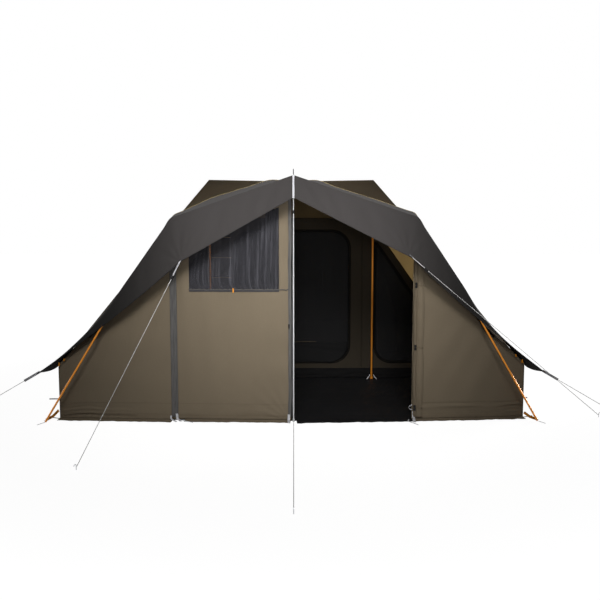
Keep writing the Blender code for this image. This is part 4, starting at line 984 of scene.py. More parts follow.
def section(front, middle, trail, along=None, normal=None):
    """Nine points from the front edge to the trailing edge, wrapped round the tube or over a free ridge."""
    if along is not None:
        turns = []
        for edge in (front, trail):
            reach = (edge - middle) - along * ((edge - middle) @ along)
            rise = unit(normal - reach * (normal @ reach) / (reach @ reach))
            lean = math.acos(min(CREST_LIFT / np.linalg.norm(reach), 0.9))
            turns.append(unit(reach) * math.cos(lean) + rise * math.sin(lean))
        scale = CREST_LIFT * np.linalg.norm(normal)
        before, after = middle + turns[0] * scale, middle + turns[1] * scale
        top = middle + unit(turns[0] + turns[1]) * scale
    else:
        ahead, behind = front - middle, trail - middle
        before = middle + unit(ahead) * min(CREST_ROUND, np.linalg.norm(ahead) / 3)
        after = middle + unit(behind) * min(CREST_ROUND, np.linalg.norm(behind) / 3)
        top = before * 0.25 + middle * 0.5 + after * 0.25
    return np.array([front, before, (before + top) / 2 + (top - (before + after) / 2) * 0.25, top,
                     (after + top) / 2 + (top - (before + after) / 2) * 0.25, after, trail])


def between_points(start, end, share):
    """What lies at a share of the way from start to end."""
    return start + (end - start) * share


def sheet_sections(side):
    """The sheet's sections from the middle of the hood out to the tip."""
    half, height = SHOULDER[side]
    corner = np.array([side * (half - HOOD_CORNER_IN[side]), front_line - HOOD_CORNER_REACH,
                       height - HOOD_CORNER_DROP[side]])
    nose = np.array([hub[0], front_line - HOOD_REACH, hub[2] - HOOD_DROP])
    tip = np.array([side * TIP_HALF, front_line, TIP_HEIGHT])
    trail_end, trail_top = side * (half + TRAIL_CORNER_OUT[side]), height + TRAIL_CORNER_RISE[side]
    corner_lift = trail_top - roof_height(trail_end, front_line + TRAIL_DEPTH)
    sections = []
    for share in HOOD_SHARES:
        x = between_points(hub[0], trail_end, share)
        if share <= TRAIL_RISE_END:
            risen = max(0, (share - TRAIL_RISE_START) / (TRAIL_RISE_END - TRAIL_RISE_START))
            lift = TRAIL_LIFT + (TRAIL_LIFT_SIDE - TRAIL_LIFT) * risen
            z = last_z = roof_height(x, front_line + TRAIL_DEPTH) + lift
        else:
            z = between_points(last_z, trail_top, (share - TRAIL_RISE_END) / (1 - TRAIL_RISE_END))
        trail = np.array([x, front_line + TRAIL_DEPTH, z])
        middle, along, normal = arch_frame(share, 0, side)
        sections.append(section(between_points(nose, corner, share), middle, trail, along, normal))
    knee, _, outwards = arch_frame(1, 1, side)
    ridge_start = knee + outwards * CREST_LIFT
    trails = {share: tip + [-side * inside, behind, above]
              for share, (inside, behind, above) in TRAIL_NEAR_TIP.items()}
    join = trails[TRAIL_JOINS_TIP]
    for share, stage, spread in WING_STATIONS:
        front = between_points(corner, tip - [0, TIP_WIDTH / 2, 0], share)
        front[2] -= FRONT_SAG * 4 * share * (1 - share)
        if share in trails:
            trail = trails[share]
        else:
            x = between_points(trail_end, join[0], share / TRAIL_JOINS_TIP)
            y = join[1] + (front_line + TRAIL_DEPTH - join[1]) * spread
            rise = TRAIL_LIFT_WING + (corner_lift - TRAIL_LIFT_WING) * (1 - share / TRAIL_JOINS_TIP) ** 3
            trail = np.array([x, y, roof_height(x, y) + rise])
        if stage <= 1:
            middle, along, normal = arch_frame(stage, 1, side)
            sections.append(section(front, middle, trail, along, normal))
        else:
            past = stage - 1
            ridge = between_points(ridge_start, tip, past)
            sag, skew = TIP_SAG[side]
            ridge[2] -= sag * 4 * past * (1 - past) * (1 + skew * (0.5 - past))
            ridge[1] = arch_depth + ARCH_BEFORE_WALL * past ** 2
            sections.append(section(front, ridge, trail))
    return np.array(sections)


def carried(sections, spacing):
    """Smooth cubic curves through the sections, in steps of about the spacing along the crest. Each slope is
    the harmonic mean of its neighbours' where these agree in sign, and 0 where not: nothing overshoots."""
    gaps = np.linalg.norm(np.diff(sections, axis=0), axis=2).mean(axis=1)
    stations = np.concatenate([[0], np.cumsum(gaps)])
    runs = np.diff(sections, axis=0) / gaps[:, None, None]
    product = runs[1:] * runs[:-1]
    total = runs[1:] + runs[:-1]
    middle = np.where(product > 0, 2 * product / np.where(product > 0, total, 1), 0)
    slopes = np.concatenate([runs[:1], middle, runs[-1:]])
    dense = np.linspace(0, stations[-1], round(stations[-1] / spacing) + 1)
    cell = np.clip(np.searchsorted(stations, dense, side="right") - 1, 0, len(gaps) - 1)
    gap = gaps[cell][:, None, None]
    t = ((dense - stations[cell]) / gaps[cell])[:, None, None]
    return ((2 * t**3 - 3 * t**2 + 1) * sections[cell] + (t**3 - 2 * t**2 + t) * gap * slopes[cell]
            + (3 * t**2 - 2 * t**3) * sections[cell + 1] + (t**3 - t**2) * gap * slopes[cell + 1])


FRONT_STEPS, TRAIL_STEPS, SOFT_SPAN = 40, 34, 9
WING_START, WING_END = 0.80, 1.90
sides = {side: carried(sheet_sections(side), 0.016) for side in WORDS}
along_arch = np.concatenate([sides[RIGHT][:0:-1], sides[LEFT]])
ahead = ruled(along_arch[:, 0], along_arch[:, 1], FRONT_STEPS)
behind = ruled(along_arch[:, 5], along_arch[:, 6], TRAIL_STEPS)
sheet_grid = np.concatenate([ahead, along_arch[:, 2:5].transpose(1, 0, 2), behind])
arch_run = arc_lengths(sheet_grid, 1)[FRONT_STEPS]
middle_run = arch_run[len(sides[RIGHT]) - 1]
from_middle = np.abs(arch_run - middle_run)[None]
share_ahead = np.minimum(np.arange(len(sheet_grid))[:, None] / (FRONT_STEPS - 1), 1)
loose_ahead = 4 * share_ahead * (1 - share_ahead)
corner_run = float(np.linalg.norm(hub - arch_spot(LEFT, SHOULDER[LEFT])))
column_count = sheet_grid.shape[1]
columns = np.arange(column_count)[:, None] + np.arange(-SOFT_SPAN, SOFT_SPAN + 1)
columns = np.clip(columns, 0, column_count - 1)
near_shoulder = np.exp(-((from_middle - corner_run) / 0.30) ** 2) * loose_ahead
sheet_grid = sheet_grid + (sheet_grid[:, columns].mean(axis=2) - sheet_grid) * near_shoulder[..., None]
sheet_along = arc_lengths(sheet_grid, 0)
from_corner = np.hypot(from_middle - corner_run, sheet_along)
folds_lift = 0.0030 * loose_ahead * waves(from_middle + sheet_along * 0.5, 0.30, 101)
folds_lift = folds_lift + 0.0045 * loose_ahead * np.exp(-from_corner / 0.30) * np.sin(
    np.arctan2(from_middle - corner_run, sheet_along + 1e-6) * 13)
near_hem = np.minimum(1, sheet_along / 0.03) * np.exp(-sheet_along / 0.07)
folds_lift = folds_lift + 0.0016 * near_hem * waves(arch_run[None], 0.085, 103)
room = np.minimum(1, sheet_along[FRONT_STEPS][None] / 0.25)
sheet_grid = pushed(sheet_grid, folds_lift * room)
# The second, darker colour is painted shade on the wings, growing towards their points.
charcoal = woven("charcoal coated polyester", (0.053, 0.0485, 0.0475), 0.0009, 0.7, 0.10, 0.0002, 0.5,
                 creases=0.0004, gloss=0.09, darker=(0.0125, 0.0118, 0.0112))
protector = cloth("protector_cloth", sheet_grid, charcoal, stands_for=["protector_sheet"])
# How far out along the wings a point lies, for the painted shade there.
outwards = np.clip((np.abs(sheet_grid[..., 0]) - WING_START) / (WING_END - WING_START), 0, 1)
set_attribute(protector, "wing_shade", outwards * outwards * (3 - 2 * outwards))

# Doorway, right half: the open leaf, rolled up beside the post into two soft lobes of the tent's own cloth.
# Three bands of the same cloth with black toggles tie it, and it creases outwards from each of them.

ROLL_START, ROLL_WIDTH, ROLL_FOOT, ROLL_TOP = 0.003, 0.112, 0.03, 1.74
ROLL_LOBES, ROLL_VALLEY, ROLL_EDGE = ((0.32, 0.026), (1.0, 0.034)), 0.18, 0.03
ROLL_TIES, TIED_SHARE, TOP_SHARE, TIE_REACH = (0.12, 0.715, 1.32), 0.84, 0.9, 0.10
ROLL_SEAT = HALF_CLOTH + 0.0003
right_foot = foot(("post", RIGHT))
panel_along = unit(foot(("corner", RIGHT)) - right_foot)
panel_out = np.cross(panel_along, [0, 0, 1.0])


def on_panel(along, height, out):
    """Places on the right front panel, from the doorway's post."""
    return on_plane(right_foot, panel_along, panel_out, along, height, out)


def lobes(share):
    """How far the roll stands out at a share of its width: the root of a half sine over each lobe."""
    out, start = np.zeros_like(share), 0.0
    for end, depth in ROLL_LOBES:
        swell = np.sqrt(np.clip(np.sin(np.pi * (share - start) / (end - start)), 0, 1))
        stands = depth * (ROLL_VALLEY + (1 - ROLL_VALLEY) * swell)
        out = np.where((share >= start) & (share <= end), stands, out)
        start = end
    return out * np.sqrt(np.clip(np.minimum(share, 1 - share) / ROLL_EDGE, 0, 1))


def roll_size(height):
    """The roll's girth as a share: drawn in at each tie and at the top."""
    size = 1 - (1 - TOP_SHARE) * np.clip((height - 1.5) / (ROLL_TOP - 1.5), 0, 1)
    for tie in ROLL_TIES:
        size = size - (1 - TIED_SHARE) * np.exp(-((height - tie) / TIE_REACH) ** 2)
    return size


roll_levels = np.linspace(ROLL_FOOT, ROLL_TOP, 190)[:, None]
front_shares, back_shares = np.linspace(1, 0, 60), np.linspace(0, 1, 6)[1:-1]
shares = np.concatenate([front_shares, back_shares])[None]
out = np.concatenate([lobes(front_shares), np.zeros(len(back_shares))])[None]
size = roll_size(roll_levels)
nearest = np.min([np.abs(roll_levels - tie) for tie in ROLL_TIES], axis=0)
fan = 0.0026 * np.exp(-nearest / 0.13) * np.sin(shares * 47 + 9 * nearest + 2 * np.sin(roll_levels * 5))
slack = 0.0024 * waves(roll_levels + shares * 0.12, 0.19, 110) + 0.0012 * waves(shares * 0.112, 0.022, 111)
raised = np.maximum(out * size + (fan + slack) * (out / 0.03) ** 0.5, 0)
roll_grid = on_panel(ROLL_START + ROLL_WIDTH * (0.5 + (shares - 0.5) * size), roll_levels, ROLL_SEAT + raised)
index = grid_quads(*roll_grid.shape[:2], wrap=True).reshape(-1, 4)
columns = roll_grid.shape[1]
roll_ends = [np.arange(columns), np.arange(columns)[::-1] + (len(roll_grid) - 1) * columns]
rolled = new_mesh("door_leaf_right_roll", roll_grid, index, roll_ends)
to_edge, up_roll = np.broadcast_arrays(shares * ROLL_WIDTH, roll_levels)
map_cloth(rolled, arc_lengths(roll_grid, 1), arc_lengths(roll_grid, 0), to_edge, up_roll)
dress(rolled, cotton, stands_for=["door_leaf_right_rolled"])

black_tape = webbing("black tape", (0.0028, 0.0027, 0.0027), gloss=0.05)
TOGGLE_PROFILE = [(0.005, -0.028), (0.0110, -0.024), (0.0110, -0.005), (0.0070, -0.002), (0.0070, 0.002),
                  (0.0110, 0.005), (0.0110, 0.024), (0.005, 0.028)]
for number, tie in enumerate(ROLL_TIES):
    around = np.linspace(1, 0, 40)
    size = roll_size(tie)
    band = on_panel(ROLL_START + ROLL_WIDTH * (0.5 + (around - 0.5) * size), tie + 0.003 * np.sin(around * 5),
                    ROLL_SEAT + lobes(around) * size + 0.0035)
    strap(f"roll_band_{number + 1}", band, [0, 0, -1], 0.016, cotton, columns=5)
    toggle_middle = on_panel(ROLL_START + 0.022, tie, ROLL_SEAT + 0.024)
    toggle_path, toggle_radii = stepped(TOGGLE_PROFILE, toggle_middle)
    bars(f"roll_toggle_{number + 1}", [toggle_path], [toggle_radii], 16, black_plastic)

# Sleeping compartment: a second tent of thin dark brown cloth behind the main poles, with a black tub foot.
# Three zipped net doors with round corners are set in its front wall, each bound with black tape.

inner_low, inner_high = box("inner_front_wall")
inner_front, inner_rear = (inner_low[1] + inner_high[1]) / 2, box("inner_wall_rear")[1][1] - HALF_CLOTH
INNER_HALF, INNER_TOP, INNER_FOOT = 2.03, 2.015, float(inner_low[2])
INNER_TOP_HALF, INNER_EAVE, INNER_BACK_HALF, DOOR_SPLIT = 0.955, 0.50, 1.62, 0.875
DOOR_HALF, DOOR_SILL, DOOR_TOP, DOOR_RADIUS = 0.715, 0.204, 1.855, 0.22
SIDE_START, SIDE_END, SIDE_TOP, SIDE_MARGIN, SIDE_RADIUS = 1.035, 1.78, 1.70, 0.10, 0.006
slope = (INNER_TOP - INNER_EAVE) / (INNER_HALF - INNER_TOP_HALF)
edge_drop = SIDE_MARGIN * math.hypot(1, slope)


def rounded(corners, radii):
    """An outline in X and height with an arc at each corner, anticlockwise seen from the front."""
    spots = [np.array([x, 0.0, z]) for x, z in corners]
    turns = zip([spots[-1], *spots], spots, [*spots[1:], spots[0]], radii)
    arcs = [bend(before, spot, after, radius, 10) for before, spot, after, radius in turns]
    return np.concatenate(arcs)[:, [0, 2]]


def mirrored(outline):
    """The same outline on the other side, still anticlockwise."""
    return (outline * [-1, 1])[::-1]


def edge_normals(outline):
    """The outward direction of each edge of an anticlockwise outline."""
    edges = np.roll(outline, -1, axis=0) - outline
    return unit(np.stack([edges[:, 1], -edges[:, 0]], axis=-1))


def reach(outline, middle, angles):
    """How far a convex outline is from a place inside it at each angle: the nearest of its edges' lines."""
    normals = edge_normals(outline)
    level = np.sum(normals * (outline - middle), axis=-1)
    ways = np.stack([np.cos(angles), np.sin(angles)], axis=-1) @ normals.T
    return np.where(ways > 1e-6, level / np.maximum(ways, 1e-6), np.inf).min(axis=1)


def reach_in(outline, spots):
    """How far each place is inside a convex outline: the least of its distances to the edges' lines."""
    normals = edge_normals(outline)
    level = np.sum(normals * outline, axis=-1)
    return np.maximum((level - spots @ normals.T).min(axis=-1), 0)


def wall_round(door, edge, rows):
    """Cloth between a door's outline and the edge of its part of the wall, on rays from the door's middle."""
    middle = door.mean(axis=0)
    turns = [np.arctan2(*(line - middle).T[::-1]) for line in (door, edge)]
    angles = np.unique(np.concatenate([*turns, np.linspace(-np.pi, np.pi, 140, endpoint=False)]).round(5))
    near, far = reach(door, middle, angles), reach(edge, middle, angles)
    share = np.linspace(0, 1, rows)[:, None]
    rays = np.stack([np.cos(angles), np.sin(angles)], axis=-1)
    return middle + rays * between_points(near, far, share)[..., None]


def rows_across(outline, spacing, columns):
    """Level rows from an outline's foot to its top, each from its right edge to its left one."""
    normals = edge_normals(outline)
    count = max(2, round(np.ptp(outline[:, 1]) / spacing))
    even = np.linspace(outline[:, 1].min(), outline[:, 1].max(), count)
    levels = np.unique(np.concatenate([outline[:, 1], even]).round(5))
    level = np.sum(normals * outline, axis=-1)
    tilt = np.where(np.abs(normals[:, 0]) < 1e-6, 1.0, normals[:, 0])
    line = (level - levels[:, None] * normals[:, 1]) / tilt
    right = np.where(normals[:, 0] > 1e-6, line, np.inf).min(axis=1)
    left = np.where(normals[:, 0] < -1e-6, line, -np.inf).max(axis=1)
    x = right[:, None] + (left - right)[:, None] * np.linspace(0, 1, columns)
    return np.stack(np.broadcast_arrays(x, levels[:, None]), axis=-1)


def on_inner(spots, out):
    """Places on the compartment's front wall from X and height, and out towards the doorway."""
    return np.stack(np.broadcast_arrays(spots[..., 0], inner_front - out, spots[..., 1]), axis=-1)


inner_cloth = woven("dark brown inner cloth", (0.0315, 0.0262, 0.0193), 0.0008, 0.9, 0.12, 0.0002, 0.05)
tub_cloth = woven("black tub cloth", (0.0065, 0.0063, 0.0064), 0.0012, 0.7, 0.2, 0.0002, 0.2)
door_netting = netting("black door net", (0.0085, 0.0085, 0.009), 0.0016, 0.80, 0.5)
beige_tape = webbing("beige tape", (0.33, 0.245, 0.115))
centre_outline = rounded([(-DOOR_HALF, DOOR_SILL), (DOOR_HALF, DOOR_SILL), (DOOR_HALF, DOOR_TOP),
                          (-DOOR_HALF, DOOR_TOP)], [DOOR_RADIUS] * 4)
turn_x = INNER_TOP_HALF + (INNER_TOP - edge_drop - SIDE_TOP) / slope
side_end_top = INNER_TOP - slope * (SIDE_END - INNER_TOP_HALF) - edge_drop
side_outline = rounded([(SIDE_START, DOOR_SILL), (SIDE_END, DOOR_SILL), (SIDE_END, side_end_top),
                        (turn_x, SIDE_TOP), (SIDE_START, SIDE_TOP)], [DOOR_RADIUS] * 2 + [SIDE_RADIUS] * 3)
centre_edge = np.array([(-DOOR_SPLIT, INNER_FOOT), (DOOR_SPLIT, INNER_FOOT), (DOOR_SPLIT, INNER_TOP),
                        (-DOOR_SPLIT, INNER_TOP)])
side_edge = np.array([(DOOR_SPLIT, INNER_FOOT), (INNER_HALF, INNER_FOOT), (INNER_HALF, INNER_EAVE),
                      (INNER_TOP_HALF, INNER_TOP), (DOOR_SPLIT, INNER_TOP)])
INNER_DOORS = {"centre": (centre_outline, centre_edge), "right": (side_outline, side_edge),
               "left": (mirrored(side_outline), mirrored(side_edge))}
for number, (word, (outline, edge)) in enumerate(INNER_DOORS.items()):
    spots = wall_round(outline, edge, 14)
    share = np.linspace(0, 1, 14)[:, None]
    slack = 0.004 * waves(spots[..., 0] + 0.3 * spots[..., 1], 0.33, 120 + number) * 4 * share * (1 - share)
    slack = slack * np.clip((spots[..., 1] - 0.14) / 0.1, 0, 1)
    cloth(f"inner_wall_cloth_{word}", on_inner(spots, slack), inner_cloth,
          stands_for=["inner_front_wall"], wrap=True)
    body = f"inner_{word}"
    spots = rows_across(outline, 0.03, 46)
    inside = np.minimum(1, reach_in(outline, spots) / 0.06)
    low_down = np.exp(-(spots[..., 1] - DOOR_SILL) / 0.25)
    billow = 0.003 * waves(spots[..., 0] + 0.2 * spots[..., 1], 0.4, 130 + number)
    billow = billow + 0.003 * low_down * waves(spots[..., 1], 0.075, 133 + number)
    cloth(f"inner_door_net_{word}", on_inner(spots, billow * inside), door_netting, body,
          [f"inner_door_{word}"], thickness=0.0005)
    closed = np.concatenate([outline, outline[:1]])
    normals = edge_normals(outline)
    normals = unit(normals + np.roll(normals, 1, axis=0))
    normals = np.concatenate([normals, normals[:1]])
    across = np.stack([normals[:, 0], np.zeros(len(normals)), normals[:, 1]], axis=-1)
    strap(f"inner_door_tape_{word}", on_inner(closed - normals * 0.0095, 0.0016), across, 0.012, black_tape,
          body, columns=3)
    strap(f"inner_wall_tape_{word}", on_inner(closed + normals * 0.0105, 0.0018), across, 0.014, black_tape,
          columns=3)

tub_spots = rows_across(np.array([(-INNER_HALF, INNER_FOOT), (INNER_HALF, INNER_FOOT), (INNER_HALF, 0.127),
                                  (-INNER_HALF, 0.127)]), 0.008, 240)
tub_lift = 0.0035 + 0.0022 * waves(tub_spots[..., 0] + 0.5 * tub_spots[..., 1], 0.21, 140)
tub_lift = tub_lift + 0.0022 * waves(tub_spots[..., 1] + 0.02 * waves(tub_spots[..., 0], 0.7, 142), 0.05, 141)
cloth("inner_tub_front", on_inner(tub_spots, np.maximum(tub_lift, 0.0016)), tub_cloth)
LOWER_TOP = 0.466
lower_cloth = woven("black door cloth", (0.0105, 0.0105, 0.0108), 0.0009, 0.8, 0.15, 0.0002, 0.2)
# The same beige tape as on the organiser, coloured much darker here: painted shade across the lower door.
shaded_beige_tape = webbing("beige seam tape, painted darker", (0.070, 0.052, 0.030))
lower_spots = rows_across(centre_outline, 0.012, 60)
lower_spots = lower_spots[lower_spots[:, 0, 1] <= LOWER_TOP]
lower_out = 0.013 + 0.0022 * waves(lower_spots[..., 1] + 0.12 * lower_spots[..., 0], 0.11, 145)
shrink = (lower_spots - [0, DOOR_SILL]) * [0.97, 0.97] + [0, DOOR_SILL + 0.006]
cloth("inner_door_lower_cloth", on_inner(shrink, lower_out), lower_cloth, "inner_centre")
line_x = np.linspace(0.30, -0.68, 60)
line_spots = np.stack([line_x, LOWER_TOP - 0.004 + 0.004 * np.sin(line_x * 6)], axis=-1)
strap("inner_door_seam_tape", on_inner(line_spots, 0.0165), [0, 0, 1], 0.006, shaded_beige_tape,
      "inner_centre", columns=3)

# Organiser: three rows of brown pockets sewn to the wall beside the left net door. Each pocket bulges at its
# foot, lies flat at its mouth and has a beige binding there.

pocket_low, pocket_high = box("organiser")
POCKET_ROWS, POCKET_STEPS = 3, 16
pitch = (pocket_high[2] - pocket_low[2]) / POCKET_ROWS
pocket_levels = np.linspace(0, POCKET_ROWS, POCKET_ROWS * POCKET_STEPS + 1)[:, None]
pocket_x = np.linspace(pocket_high[0], pocket_low[0], 26)[None]
rise = pocket_levels % 1
rise[-1] = 1
belly = np.minimum(1, rise / 0.12) ** 0.5 * np.clip((1 - rise) / 0.72, 0, 1) ** 0.6
half = np.abs((pocket_x - pocket_low[0]) / (pocket_high[0] - pocket_low[0]) - 0.5) * 2
crown = np.sqrt(np.clip(1 - half ** 6, 0, 1)) * (0.86 + 0.14 * np.cos(pocket_x * 52))
pocket_out = (inner_front - pocket_high[1]) + 0.0008 + 0.0095 * belly * crown
pocket_spots = np.stack(np.broadcast_arrays(pocket_x, pocket_low[2] + pitch * pocket_levels), axis=-1)
cloth("organiser_pockets", on_inner(pocket_spots, pocket_out), inner_cloth,
      stands_for=["organiser"])
for number in range(POCKET_ROWS):
    mouth = np.linspace(pocket_high[0] - 0.002, pocket_low[0] + 0.002, 24)
    height = pocket_low[2] + pitch * (number + 1) - 0.006 - 0.003 * np.sin((mouth - mouth[0]) * 13)
    strap(f"organiser_binding_{number + 1}", on_inner(np.stack([mouth, height], axis=-1), 0.0062), [0, 0, 1],
          0.010, beige_tape, columns=3)
WALL_SEAM_X = -1.0452
seam_spots = np.linspace((WALL_SEAM_X, 0.95), (WALL_SEAM_X, 1.90), 20)
strap("inner_wall_seam_tape", on_inner(seam_spots, 0.0042), [1, 0, 0], 0.009, beige_tape,
      columns=3)

inner_top = {side: np.array([side * INNER_TOP_HALF, inner_front, INNER_TOP]) for side in WORDS}
inner_eave = {side: np.array([side * INNER_HALF, inner_front, INNER_EAVE]) for side in WORDS}
inner_back = {side: np.array([side * INNER_BACK_HALF, inner_rear, INNER_EAVE]) for side in WORDS}
INNER_EDGES = {"left": (inner_eave[LEFT], inner_back[LEFT]), "rear": (inner_back[LEFT], inner_back[RIGHT]),
               "right": (inner_back[RIGHT], inner_eave[RIGHT])}
INNER_TOPS = {"left": (inner_top[LEFT], inner_top[LEFT]), "rear": (inner_top[LEFT], inner_top[RIGHT]),
              "right": (inner_top[RIGHT], inner_top[RIGHT])}
INNER_PANELS = [("inner_roof_cloth", "rear", True), ("inner_slope_cloth_left", "left", True),
                ("inner_slope_cloth_right", "right", True), ("inner_wall_cloth_side_left", "left", False),
                ("inner_wall_cloth_rear", "rear", False), ("inner_wall_cloth_side_right", "right", False)]
for number, (name, place, is_roof) in enumerate(INNER_PANELS):
    low, high = INNER_EDGES[place], INNER_TOPS[place]
    if not is_roof:
        low, high = [spot * [1, 1, 0] + [0, 0, INNER_FOOT] for spot in low], low
    grid = ruled(*(between_points(*ends, np.linspace(0, 1, 60)[:, None]) for ends in (low, high)), 40)
    cloth(name, taut(grid, [0, 59], 0.010, 0.003, 150 + number), inner_cloth,
          stands_for=["inner_roof" if is_roof else f"inner_wall_{place}"])

# Trims of the protector sheet: a beige binding sewn round its trailing edge, and over the peak a strap of
# light webbing that takes the centre guyline.

beige_binding = webbing("beige binding", (0.34, 0.26, 0.125))
trail_edge = sheet_grid[-1]
visible = np.abs(trail_edge[:, 0]) < SHOULDER[RIGHT][0] + 0.10
edge_across = unit(sheet_grid[-1] - sheet_grid[-2])
strap("protector_binding", trail_edge[visible] - edge_across[visible] * 0.003, edge_across[visible], 0.012,
      beige_binding, thickness=0.0075, columns=4)
sheet_faces = facings(sheet_grid)
light_webbing = webbing("light webbing", (0.60, 0.60, 0.63))
middle_column = len(sides[RIGHT]) - 1
strap_rows = (sheet_grid + sheet_faces * 0.0023)[FRONT_STEPS + 4::-1, middle_column]
strap_tail = strap_rows[-1] + unit(strap_rows[-1] - strap_rows[-2]) * 0.009
CENTRE_STRAP_WIDTH = 0.018
strap("centre_strap_webbing", np.concatenate([strap_rows, [strap_tail]]), [1, 0, 0], CENTRE_STRAP_WIDTH,
      light_webbing, stands_for=["centre_strap"], thickness=0.0016, columns=7)

# Guylines: white braided cord, each from the sheet to a hooked steel peg. Three of them are tightened by a
# black runner. Where the cord meets the hood's corners and the wings' points, light webbing is sewn on.

LINE_RADIUS, WEBBING_REACH, PEG_RADIUS, PEG_SHAFT, PEG_HOOK = 0.0025, 0.150, 0.0035, 0.034, 0.012
LINE_WAYS = {"centre": (-1, -1, -1), "left": (-1, -1, -1), "right": (1, 1, -1), "tip_left": (-1, 1, -1),
             "tip_right": (1, 1, -1)}
PEG_SPOTS = {"centre": (0.008, -2.34), "left": (-1.66, -1.485), "right": (3.04, 0.0),
             "tip_left": (-3.24, 0.0), "tip_right": (3.24, 0.0)}


def line_ends(node, ways):
    """A straight cord's ends from its box, whose faces lie past them by the tilt of its round ends."""
    low, high = box(node)
    size = high - low
    run = size * ways
    for _ in range(4):
        run = (size - 2 * LINE_RADIUS * np.sqrt(1 - unit(run) ** 2)) * ways
    return (low + high - run) / 2, (low + high + run) / 2


def braided(name, colour):
    """Braided cord: two sets of strands that cross as they wind round it, and a little grime."""
    made, shader, wire = new_material(name)
    mapped = wire.attribute("round", "Vector")
    turn = mapped.node("Math", {"operation": "ARCTAN2"}, {0: mapped.part(1), 1: mapped.part(0)})
    climb = mapped.part(2) * (2 * math.pi / 0.006)
    strands = (turn * 4 + climb).sine() * (turn * 4 - climb).sine()
    grime = wire.place().noise(6.0, 3.0)
    feed(shader, Base_Color=wire.colour(colour).dyed(strands * 0.16 + grime * 0.3 + 0.85), Roughness=0.7,
         Normal=strands.bump(0.0004, 0.7))
    return made


def hooked(where, away):
    """A peg's path: up from the ground, then half round into a hook."""
    turn = np.linspace(0, np.pi, 15)[:, None]
    round_out, round_up = away * PEG_HOOK * (1 - np.cos(turn)), np.array([0, 0, PEG_HOOK]) * np.sin(turn)
    hook = where + [0, 0, PEG_SHAFT] + round_out + round_up
    shaft = where + np.linspace(0, 1, 6)[:-1, None] * [0, 0, PEG_SHAFT]
    return np.concatenate([shaft, hook])


cord_white = braided("white braided cord", (0.82, 0.82, 0.81))
for word, ways in LINE_WAYS.items():
    top, bottom = line_ends(f"guyline_{word}", np.array(ways))
    run = unit(bottom - top)
    path = top + (bottom - top) * np.linspace(0, 1, 21)[:, None]
    ground = np.array([PEG_SPOTS[word][0], front_line + PEG_SPOTS[word][1], 0])
    away = unit((bottom - top) * [1, 1, 0])
    peg = bars(f"peg_steel_{word}", [hooked(ground, away)], PEG_RADIUS, 16, steel,
               stands_for=[f"peg_{word}"])
    line = bars(f"guyline_braid_{word}", [path], LINE_RADIUS, 12, cord_white,
                stands_for=[f"guyline_{word}"])
    if f"runner_{word}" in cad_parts:
        refinish(f"runner_{word}", black_plastic)
    float(np.linalg.norm(bottom - top))
    if word == "centre":
        continue
    if word.startswith("tip"):
        wide, lap, face = 0.024, 0.030, np.array([0, -1.0, 0])
        sideways = unit(np.cross(run, face))
    else:
        wide, lap, sideways = 0.015, 0.035, unit(np.cross(run, [0, 0, 1.0]))
        face = np.cross(sideways, run)
        face = face * np.sign(face @ [0, -1, 0.4])
    share = np.linspace(-lap, WEBBING_REACH, 14)[:, None]
    lifted = np.interp(share[:, 0], [-lap, 0.012, WEBBING_REACH], [0.0036, 0.0046, 0.0036])[:, None]
    strap(f"guyline_webbing_{word}", top + run * share + face * lifted, sideways, wide, light_webbing,
          columns=5)

# Pegging points: orange straps from the wall's corners to the arch's feet, white loops with lying pegs at the
# door posts, orange and grey loops on the corners, and light loops beside the main poles' feet.

orange_webbing = webbing("orange webbing", (0.80, 0.31, 0.03))
LYING_PEG = 0.003


def lying(name, start, end, rise=0.0005):
    """A steel peg that lies on the ground, or a little above it, with its hook turned up at the start."""
    start, end = np.array([*start, LYING_PEG + rise]), np.array([*end, LYING_PEG + rise])
    run = unit(end - start)
    turn = np.linspace(np.pi, 0, 9)[:, None]
    hook = start - run * 0.009 * np.sin(turn) + np.array([0, 0, 0.009]) * (1 - np.cos(turn))
    straight = start + (end - start) * np.linspace(0.05, 1, 8)[:, None]
    return bars(name, [np.concatenate([hook, straight])], LYING_PEG, 12, steel)


def loop(name, spots, across, width, finish=light_webbing, stands_for=()):
    """A short strap through given places, rounded between them by a running mean."""
    path = polyline(np.array(spots, float), 0.004)[0]
    padded = np.concatenate([path[:1]] * 3 + [path] + [path[-1:]] * 3)
    smooth = np.mean([padded[k:k + len(path)] for k in range(7)], axis=0)
    smooth[0], smooth[-1] = path[0], path[-1]
    return strap(name, smooth, across, width, finish, "tent", stands_for)


